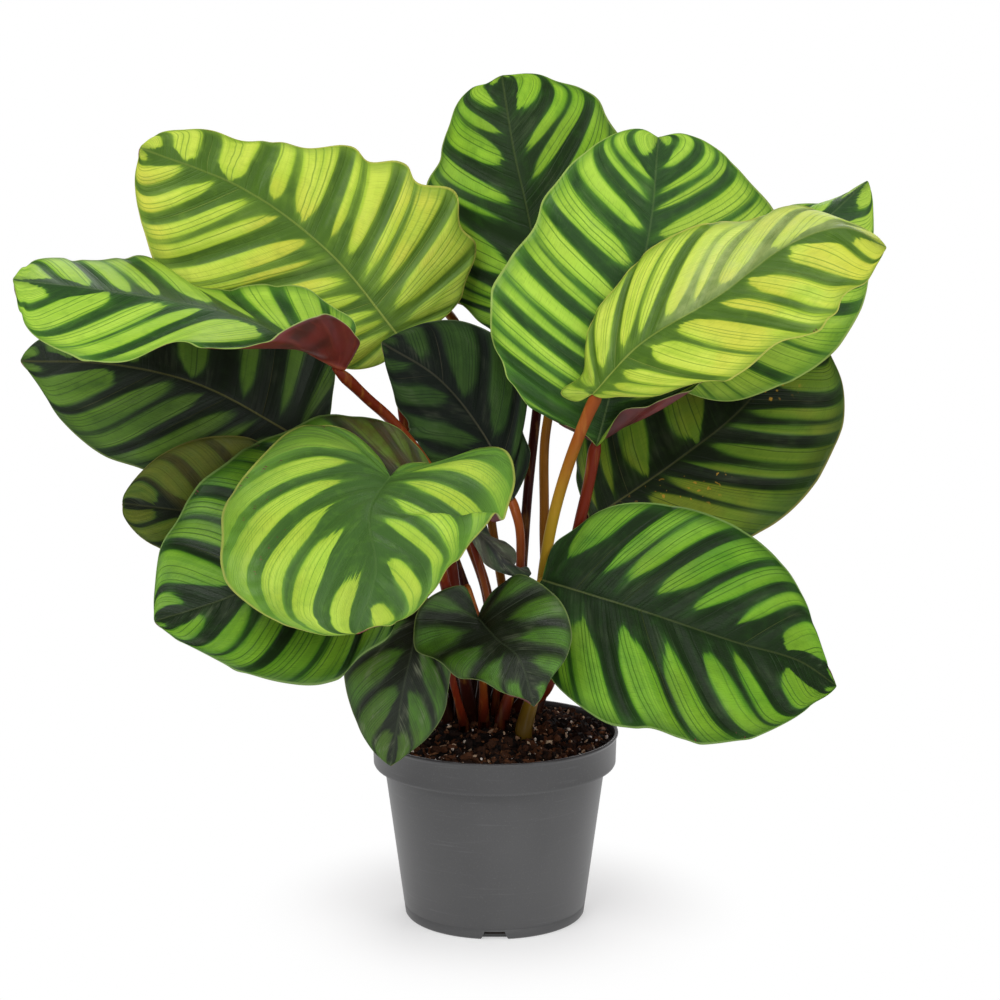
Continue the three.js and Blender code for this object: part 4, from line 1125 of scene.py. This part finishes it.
# %% Relief of a blade
def blade_relief(leaf, rows, start, out, from_rib, off_vein):
    """How far the upper and the lower face lie above the middle surface, in mm. Pleats move
    both: up between the broad lines and down along them, less by the midrib and at both ends of
    the blade. The upper face has a groove over the midrib and the lower one a keel under it.
    These are bells across the midrib. They grow from the stalk on and get smaller to the tip."""
    fade = np.sin(np.pi * rows).clip(0)[:, None]
    quilt = leaf["quilt"] * (0.5 - np.exp(-((off_vein / PLEAT_VALLEY) ** 2)))
    pleat = quilt * (out * (1.35 - out) * 2.2) ** 0.6 * fade**0.5
    rib_size = (np.minimum(1, rows / KEEL_START) * (1 - start))[:, None]
    keel = np.exp(-((from_rib / (0.5 + KEEL_WIDTH * rib_size)) ** 2))
    groove = np.exp(-((from_rib / GROOVE_WIDTH) ** 2))
    thin = HALF_THICKNESS * (1 - EDGE_THINNING * out**4)
    upper = thin + pleat - GROOVE_DEPTH * rib_size**0.5 * groove
    lower = thin - pleat + KEEL_DEPTH * rib_size * keel
    return upper, -lower


def blade_faces(shape):
    """Faces of the upper side, the lower side and the strips along both margins. Gives each
    face's four points, its finish (0 upper, 1 lower) and its four places on the net."""
    place = np.arange(shape[0] * shape[1]).reshape(shape)
    upper, lower = place.copy(), place + place.size
    for index in (upper, lower):
        index[[0, -1]] = index[[0, -1], :1]
    faces = [grid_faces(upper), grid_faces(lower)[:, ::-1]]
    places = [grid_faces(place), grid_faces(place)[:, ::-1]]
    for column, flip in ((0, 1), (shape[1] - 1, -1)):
        top, low, at = (index[:, column] for index in (upper, lower, place))
        faces.append(np.stack([top[:-1], top[1:], low[1:], low[:-1]], -1)[:, ::flip])
        places.append(np.stack([at[:-1], at[1:], at[1:], at[:-1]], -1)[:, ::flip])
    looks = np.repeat((0, 1, 0, 0), [len(part) for part in faces])
    return np.concatenate(faces), looks, np.concatenate(places)


# %% Veins on the net
def vein_distances(leaf, net, side, rows, columns):
    """For each point of the net: the share of the margin at which its own vein ends, the length
    of one such share in mm, and the distance from the nearest broad line in mm."""
    left = vein_shares(leaf["left_dark"], rows, columns)
    right = vein_shares(leaf["right_dark"], rows, columns)
    ends = np.hstack([left[:, :0:-1], right])
    mm_per_row = np.linalg.norm(np.gradient(net, axis=0), axis=2)
    mm_per_share = mm_per_row / np.maximum(np.gradient(ends, axis=0), LEAST_STEP)
    to_lines = []
    for half, turn in HALVES:
        broad = [line[1] for line in leaf[half + "_dark"] if line[2] > THIN_LINE]
        to_line = np.min(np.abs(ends[..., None] - broad), -1)
        to_lines.append(np.where(side * turn > 0, np.inf, to_line))
    return ends, mm_per_share, np.minimum(*to_lines) * mm_per_share


# %% One blade
def make_blade(name, leaf, seed):
    """The net of the blade, its two faces beside it, and what its two finishes read."""
    rows = np.linspace(0, 1, BLADE_ROWS + 1)
    columns = np.linspace(0, 1, BLADE_COLUMNS + 1) ** COLUMN_CROWDING
    net, start = blade_net(leaf, rows, columns)
    normals = net_normals(net)
    side = np.concatenate([-columns[:0:-1], columns])[None, :] * np.ones((len(rows), 1))
    from_rib = np.linalg.norm(net - net[:, BLADE_COLUMNS, None], axis=2)
    ends, mm_per_share, off_vein = vein_distances(leaf, net, side, rows, columns)
    upper, lower = blade_relief(leaf, rows, start, np.abs(side), from_rib, off_vein)
    points = np.concatenate([net + normals * face[..., None] for face in (upper, lower)])
    points = np.clip(points.reshape(-1, 3) * MM, *cad_box)
    faces, looks, places = blade_faces(net.shape[:2])
    polygons, keep = tidy_faces(faces)
    used, polygons = drop_unused(faces, polygons)
    finishes = [leaf_finish(f"{name}_upper", leaf, seed), underside_finish(f"{name}_under", seed)]
    node = f"blade_{name}"
    piece = finish_piece(
        f"leaf_{name}", points[used], polygons, finishes, [node], looks
    )
    give_map(piece, "veins", np.stack([ends, side], -1).reshape(-1, 2)[places.ravel()[keep]])
    give_values(piece, "from_rib", np.tile(from_rib.ravel(), 2)[used])
    give_values(piece, "mm_per_share", np.tile(mm_per_share.ravel(), 2)[used])
    return piece


# %% All blades
for seed, (name, leaf) in enumerate(LEAVES.items()):
    blade = make_blade(name, leaf, seed)
print("blades:", len(LEAVES), "of", len(blade.data.polygons), "faces")


# %% [markdown]
# ## Stalks
#
# A leaf stalk is a round, slightly grooved rod that is sheathed and thicker at the soil, and
# ends in a swollen joint of its own colour under the blade. It is a circle carried along a
# curve. The last part of the curve slides along the underside of the midrib, so that the
# stalk runs out into the keel.

# %% Stalk finish
STALK_TONES = {
    "maroon": "#32100c",
    "red": "#64200e",
    "orange": "#86431a",
    "olive": "#9a7c1c",
    "brown": "#6e440e",
}
STALK_GRAIN = "#c08a3c"
# painted shade over a stalk's foot by the soil
STALK_PAINTED_SHADE = "#240f06"


def stalk_finish(name, tones):
    """Three tones, one after the other from the soil up, with a pale grain along the stalk and
    painted shade at the foot."""
    f = Finish(name)
    up = f.attribute("up_the_stalk")
    place = f.place()
    grain = f.noise(f.stretched(place, 260, 260, 26), 1.0, 3.0)
    blotch = f.noise(f.stretched(place, 40, 40, 14), 1.0)
    low, mid, high = (paint(STALK_TONES[tone]) for tone in tones)
    turn = up + (blotch - 0.5) * 0.25
    color = f.mix(turn.ramp(0.1, 0.5), low, mid)
    color = f.mix(turn.ramp(0.58, 0.84), color, high)
    color = f.mix(grain.ramp(0.5, 0.8) * 0.3, color, paint(STALK_GRAIN))
    # painted shade over the foot of the stalk
    color = f.mix((1 - up.ramp(0.02, 0.18)) * 0.7, color, paint(STALK_PAINTED_SHADE))
    return f.shade(color, 0.26 + blotch * 0.12, grain, 0.0004, 0.3, Specular_IOR_Level=0.1)


# %% Tubes
def tube(centres, directions, radii, reference, sides):
    """A closed tube: at each centre a ring of points in the plane across the direction."""
    first = unit(reference - np.sum(reference * directions, 1, keepdims=True) * directions)
    second = np.cross(directions, first)
    angle = np.linspace(0, 2 * np.pi, sides, endpoint=False)[None, :, None]
    rings = centres[:, None] + radii[:, None, None] * (
        np.cos(angle) * first[:, None] + np.sin(angle) * second[:, None]
    )
    ring_index = np.arange(len(centres) * sides).reshape(-1, sides)
    wrapped = np.concatenate([ring_index, ring_index[:, :1]], 1)
    faces = [tuple(face) for face in grid_faces(wrapped).tolist()]
    faces += [tuple(ring_index[0, ::-1].tolist()), tuple(ring_index[-1].tolist())]
    return rings.reshape(-1, 3), faces


# %% One stalk
STALK_SIDES = 20
STALK_RINGS = 90
ROOT_LENGTH = 21  # the stalk rises straight up from its root for so far
RUN_OUT = 7.0  # length of the part under the midrib
RUN_OUT_DROP = 2.2  # how far under the midrib it ends
JOINT_SWELL = 0.12
SHEATH_SWELL = 0.5
SHEATH_SHARE = 0.2  # of the stalk's length
TIP_SHARE = 0.16  # of the stalk's radius


def stalk_course(leaf):
    """Points from above the root, along the leaf's stalk points, to a neck under the start of
    the midrib, and on under it."""
    (rib_start,), (ahead,) = smooth_curve(leaf["rib"], [0])
    across = np.subtract(np.mean(leaf["left"], 0), np.mean(leaf["right"], 0))
    below = unit(np.cross(across, ahead))
    neck = rib_start + below * (leaf["girth"] * 1.05 + 0.3)
    run_out = rib_start + ahead * RUN_OUT + below * RUN_OUT_DROP
    above_root = np.add(leaf["stalk"][0], (0, 0, ROOT_LENGTH))
    return [above_root, *leaf["stalk"][1:], neck, run_out]


def stalk_radii(girth, shares, end):
    """The girth, more in the sheath and in the joint, and less where the stalk runs out. end is
    the share of the stalk's length that lies under the midrib."""
    swell = 1 + JOINT_SWELL * np.exp(-(((shares - 1 + 1.6 * end) / (1.2 * end)) ** 2))
    sheath = 1 + SHEATH_SWELL * np.clip(1 - shares / SHEATH_SHARE, 0, 1)
    slim = np.clip((1 - shares) / (1.3 * end), 0, 1) ** 0.6
    return girth * swell * sheath * (TIP_SHARE + (1 - TIP_SHARE) * slim)


def make_stalk(name, leaf):
    """A tube along the stalk's course, with one more ring at the root."""
    shares = np.linspace(0, 1, STALK_RINGS)
    centres, directions = smooth_curve(stalk_course(leaf), shares)
    length = np.linalg.norm(np.diff(centres, axis=0), axis=1).sum()
    radii = stalk_radii(leaf["girth"], shares, RUN_OUT / length)
    centres = np.vstack([leaf["stalk"][0], centres])
    directions[0] = (0, 0, 1)
    directions = np.vstack([(0, 0, 1), directions])
    radii = np.append(radii[0], radii)
    heading = np.cross(centres[-1] - centres[0], (0, 0, 1))
    rings, faces = tube(centres, directions, radii, unit(heading), STALK_SIDES)
    finish = stalk_finish(f"{name}_stalk", leaf["stalk_tones"])
    node = f"stalk_{name}"
    piece = finish_piece(f"petiole_{name}", rings * MM, faces, [finish], [node])
    give_values(piece, "up_the_stalk", np.repeat(np.append(0, shares), STALK_SIDES))
    return piece


# %% All stalks
for name, leaf in LEAVES.items():
    stalk = make_stalk(name, leaf)
print("stalks:", len(LEAVES), "of", len(stalk.data.polygons), "faces")

# %% [markdown]
# ## Pot
#
# A nursery pot is moulded from thin plastic: a tapered wall, a straight band with a rolled lip,
# a step under the band, and notches at the foot for water. It is a profile turned about the
# axis, from which four small notches are cut.

# %% Pot profile
# (radius, height) from the middle of the foot, up the outside, over the lip and down inside
POT_PROFILE = [
    (0, 0), (49.6, 0), (50.6, 0.35), (51.2, 1.2), (51.65, 5.2), (51.35, 5.7), (51.4, 6.2),
    (51.9, 6.8), (62.3, 85.8), (62.5, 87.0), (62.9, 87.9), (63.5, 88.35), (67.6, 88.4),
    (68.3, 88.65), (68.6, 89.3), (68.65, 90.2), (69.0, 104.2), (69.4, 104.9), (69.8, 105.3),
    (70.0, 105.9), (69.9, 106.5), (69.5, 106.9), (68.9, 107.0), (68.3, 106.8), (67.9, 106.3),
    (67.5, 105.0), (67.2, 91.4), (67.0, 90.6), (66.4, 90.1), (61.9, 89.9), (61.3, 89.5),
    (61.1, 88.7), (50.4, 3.6), (50.0, 2.8), (49.2, 2.4), (0, 2.4),
]
POT_SIDES = 192
# band: painted shade on the straight band at the top
POT_COLORS = dict(dark="#434344", pale="#4b4b4c", band="#303031", speck="#707071",
                  foot="#404041", scuff="#68686a")
BAND_FOOT, BAND_START = 0.089, 0.0905  # m
LIP_START, LIP_TOP = 0.1045, 0.1066


def turned(profile, sides):
    """The net of a profile of (radius, height) turned about the axis."""
    profile = np.asarray(profile, float)
    angle = np.linspace(0, 2 * np.pi, sides, endpoint=False)
    spokes = np.stack([np.cos(angle), np.sin(angle), np.zeros(sides)], 1)
    return profile[:, :1, None] * spokes + profile[:, 1:, None] * (0, 0, 1)


def pot_finish():
    """Dark grey plastic with faint rings round it, scuffs, painted shade on the straight band, and a lip
    that is worn smooth.
    """
    f = Finish("pot_plastic")
    tones = {key: paint(code) for key, code in POT_COLORS.items()}
    place = f.place()
    height = f.node("SeparateXYZ", None, {0: place}, output=2)
    cloud = f.noise(place, 14.0, 3.0)
    speck = f.noise(place, 1400.0, 2.0)
    rings = f.noise(f.stretched(place, 6, 6, 900), 1.0, 2.0)
    scuff = f.noise(f.stretched(place, 30, 30, 700), 1.0, 3.0)
    color = f.mix(cloud.ramp(0.3, 0.7), tones["dark"], tones["pale"])
    # painted shade on the straight band at the top
    color = f.mix(height.ramp(BAND_FOOT, BAND_START) * 0.32, color, tones["band"])
    color = f.mix(speck.ramp(0.55, 0.8) * 0.25, color, tones["speck"])
    color = f.mix((1 - height.ramp(0.0, 0.012)) * 0.35, color, tones["foot"])
    color = f.mix(scuff.ramp(0.6, 0.8) * 0.3, color, tones["scuff"])
    bump = speck * 0.5 + rings * 0.35
    worn = height.ramp(LIP_START, LIP_TOP) * 0.16
    return f.shade(color, 0.34 + cloud * 0.14 - worn, bump, 0.0002, 0.25, Specular_IOR_Level=0.5)


# %% Pot
pot_points, pot_faces = closed_rings(turned(POT_PROFILE, POT_SIDES), from_below=True)
pot = finish_piece(
    "nursery_pot", pot_points * MM, pot_faces, [pot_finish()], ["pot"]
)

# %% Drain notches
NOTCHES = 4
NOTCH_INSIDE, NOTCH_OUTSIDE = 45.7, 53.7  # distances from the axis
NOTCH_OUTLINE = [(-9.5, -0.5), (-7.6, 0.5), (-6.9, 1.6), (-5.6, 4.9), (5.6, 4.9), (6.9, 1.6),
                 (7.6, 0.5), (9.5, -0.5)]


def notch_cutter(turn):
    """The notch's outline, drawn out from inside the foot to outside it and turned in place."""
    points = np.array(
        [(x, -reach, z) for reach in (NOTCH_INSIDE, NOTCH_OUTSIDE) for x, z in NOTCH_OUTLINE]
    )
    spin = np.array([[math.cos(turn), -math.sin(turn), 0], [math.sin(turn), math.cos(turn), 0],
                     [0, 0, 1]])
    corners = len(NOTCH_OUTLINE)
    inner = tuple(range(corners))
    outer = tuple(k + corners for k in inner)
    after = inner[1:] + inner[:1]
    faces = [(k + corners, j + corners, j, k) for k, j in zip(inner, after)]
    faces += [inner, outer[::-1]]
    mesh = bpy.data.meshes.new("notch")
    mesh.from_pydata(points @ spin.T * MM, [], faces)
    return bpy.data.objects.new("notch", mesh)


for k in range(NOTCHES):
    cutter = notch_cutter(2 * math.pi * k / NOTCHES)
    scene.collection.objects.link(cutter)
    cut = pot.modifiers.new("notch", "BOOLEAN")
    cut.operation = "DIFFERENCE"
    cut.object = cutter
    bpy.context.view_layer.update()
    cut_mesh = bpy.data.meshes.new_from_object(
        pot.evaluated_get(bpy.context.evaluated_depsgraph_get())
    )
    pot.modifiers.clear()
    pot.data = cut_mesh
    bpy.data.objects.remove(cutter)
pot.data.shade_smooth()
pot.data.set_sharp_from_angle(angle=math.radians(38))
print("pot faces:", len(pot.data.polygons))

# %% [markdown]
# ## Peat
#
# Potting peat is a bed of dark crumbs with bits of bark and white perlite. The bed is a grid of
# rings whose height is a mound plus noise. On it lie three sorts of small lumps. Each lump is a
# rough ball that is squashed, turned and placed at random, and one mesh holds all of a sort.


# %% Peat bed
LATTICE = 64
SOIL_EDGE = 103.0
SOIL_MOUND = 17.0
MOUND_REACH = 42.0
SOIL_RADIUS = 66.6
SOIL_DROP = 1.2  # lowers the bed, so that its bumps stay inside the solid's box
BED_RINGS = 120
SPOKES = 240
# (radius, height) from the bed's rim down along the pot's inside to the middle of its floor
SKIRT_PROFILE = [(66.6, 91.6), (65.6, 90.6), (61.0, 90.4), (60.4, 89.3), (50.0, 3.75),
                 (48.9, 2.8), (0, 2.8)]


def lattice_noise(x, y, size, seed):
    """Smooth noise from -1 to 1: random numbers on a square lattice, blended between."""
    numbers = np.random.default_rng(seed).uniform(-1, 1, (LATTICE, LATTICE))
    gx, gy = x / size + 200, y / size + 200  # the added number keeps both above zero
    ix, iy = np.floor(gx).astype(int), np.floor(gy).astype(int)
    fx, fy = gx - ix, gy - iy
    fx, fy = fx * fx * (3 - 2 * fx), fy * fy * (3 - 2 * fy)
    corner = [[numbers[(ix + a) % LATTICE, (iy + b) % LATTICE] for b in (0, 1)] for a in (0, 1)]
    near = corner[0][0] * (1 - fx) + corner[1][0] * fx
    far = corner[0][1] * (1 - fx) + corner[1][1] * fx
    return near * (1 - fy) + far * fy


def soil_height(x, y):
    """Height of the peat in mm: a mound round the crown plus noise of three sizes, which is
    calm along the pot's wall."""
    mound = SOIL_EDGE + SOIL_MOUND * np.exp(-(x * x + y * y) / MOUND_REACH**2)
    calm = np.clip((SOIL_RADIUS - np.hypot(x, y)) / 12, 0.15, 1)
    rough = 1.5 * lattice_noise(x, y, 11, 1) + 1.6 * lattice_noise(x, y, 5, 2)
    return mound + calm * (rough + 0.7 * lattice_noise(x, y, 1.9, 3)) - SOIL_DROP


def soil_finish():
    f = Finish("peat")
    place = f.place()
    clod = f.noise(place, 160.0, 4.0)
    fibre = f.noise(f.stretched(place, 500, 900, 500), 1.0, 3.0)
    # dark peat, made darker still as painted shade between the crumbs
    color = f.mix(clod.ramp(0.35, 0.7), paint("#070403"), paint("#20130b"))
    color = f.mix(fibre.ramp(0.6, 0.78) * 0.7, color, paint("#5a3a22"))
    return f.shade(color, 0.9, clod + fibre * 0.4, 0.002, 0.8, Specular_IOR_Level=0.2)


radius = np.linspace(0, 1, BED_RINGS) ** 0.7 * SOIL_RADIUS
bed = turned(np.stack([radius, 0 * radius], 1), SPOKES)
bed[..., 2] = soil_height(bed[..., 0], bed[..., 1])
soil_net = np.concatenate([bed, turned(SKIRT_PROFILE, SPOKES)])
soil_points, soil_faces = closed_rings(soil_net, from_below=False)
finish_piece(
    "peat_bed", soil_points * MM, soil_faces, [soil_finish()], ["soil"]
)


# %% Crumbs, bark and perlite
def rough_ball():
    """A ball of 20 points, three rings of six between two poles, in 36 triangles."""
    turn, tilt = np.meshgrid(np.arange(6) * np.pi / 3, np.radians([48, 90, 132]))
    rings = np.stack([np.sin(tilt) * np.cos(turn), np.sin(tilt) * np.sin(turn), np.cos(tilt)], -1)
    points = np.vstack([(0, 0, 1), rings.reshape(-1, 3), (0, 0, -1)])
    k = np.arange(6)
    after = (k + 1) % 6
    first_cap = np.stack([0 * k, 1 + k, 1 + after], -1)
    last_cap = np.stack([19 + 0 * k, 13 + after, 13 + k], -1)
    triangles = [first_cap, last_cap]
    for first in (1, 7):
        a, b = first + k, first + after
        triangles += [np.stack([a, a + 6, b + 6], -1), np.stack([a, b + 6, b], -1)]
    return points, np.concatenate(triangles)


LUMP_POINTS, LUMP_FACES = rough_ball()


def lump_finish(name, colors):
    """Dull and crumbly: each lump has its own tone between the first two colours, with a grain
    of the third."""
    f = Finish(name)
    grain = f.noise(f.place(), 700.0, 3.0)
    color = f.mix(f.attribute("luck"), paint(colors[0]), paint(colors[1]))
    color = f.mix(grain.ramp(0.35, 0.75) * 0.45, color, paint(colors[2]))
    return f.shade(color, 0.85, grain, 0.0006, 0.7, Specular_IOR_Level=0.25)


def lumps(dice, size, squash):
    """Lumps of the sizes given, all round one place. Each is the ball with its points pushed in
    and out, stretched by squash and turned by a random rotation."""
    number = len(size)
    stretched = 1 + (np.array(squash) - 1) * dice.uniform(0.4, 1, (number, 3))
    rough = dice.uniform(0.5, 1.3, (number, len(LUMP_POINTS), 1))
    axes = np.linalg.qr(dice.normal(size=(number, 3, 3)))[0]
    axes *= np.sign(np.linalg.det(axes))[:, None, None]
    balls = LUMP_POINTS[None] * rough * stretched[:, None] * size[:, None, None]
    return np.einsum("nij,nkj->nki", axes, balls)


def scatter(name, number, sizes, squash, reach, colors, seed, sink):
    """number lumps in one mesh, each set on the peat at a random place within reach of the
    axis, sunk by that share of its size (raised, if it is negative). Small lumps are more
    frequent than large ones."""
    dice = np.random.default_rng(seed)
    size = sizes[0] + (sizes[1] - sizes[0]) * dice.random(number) ** 2.2
    balls = lumps(dice, size, squash)
    distance = (reach - 1.5 * size) * np.sqrt(dice.random(number))
    turn = dice.uniform(0, 2 * np.pi, number)
    x, y = distance * np.cos(turn), distance * np.sin(turn)
    place = np.stack([x, y, soil_height(x, y) - sink * size], 1)
    points = (balls + place[:, None]).reshape(-1, 3)
    faces = LUMP_FACES[None] + np.arange(number)[:, None, None] * len(LUMP_POINTS)
    finish = lump_finish(name, colors)
    piece = finish_piece(
        name, points * MM, faces.reshape(-1, 3).tolist(), [finish], []
    )
    give_values(piece, "luck", np.repeat(dice.random(number) ** 2.6, len(LUMP_POINTS)))
    piece.data.shade_flat()
    return piece


scatter(
    "peat_crumbs", number=3400, sizes=(0.6, 3.6), squash=(1.5, 1, 0.55), reach=67,
    colors=("#060302", "#6a4024", "#24130a"), seed=5, sink=0.15,
)
scatter(
    "bark_bits", number=900, sizes=(0.3, 1.25), squash=(2.2, 0.8, 0.4), reach=66,
    colors=("#6a4024", "#fbe2c0", "#b08050"), seed=6, sink=-1.2,
)
scatter(
    "perlite", number=200, sizes=(0.35, 1.1), squash=(1.2, 1, 0.8), reach=66,
    colors=("#eee2d0", "#ffffff", "#f8f0e6"), seed=7, sink=-1.4,
)

# %% [markdown]
# ## Keep the boxes and finish
#
# The dressed plant is to fill the same box as the solids. Both boxes are printed.

# %% Size and finish
boxes = {"cad": cad_box, "dressed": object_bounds()}
boxes = {key: [list(map(float, corner)) for corner in box] for key, box in boxes.items()}
print("box:", boxes)
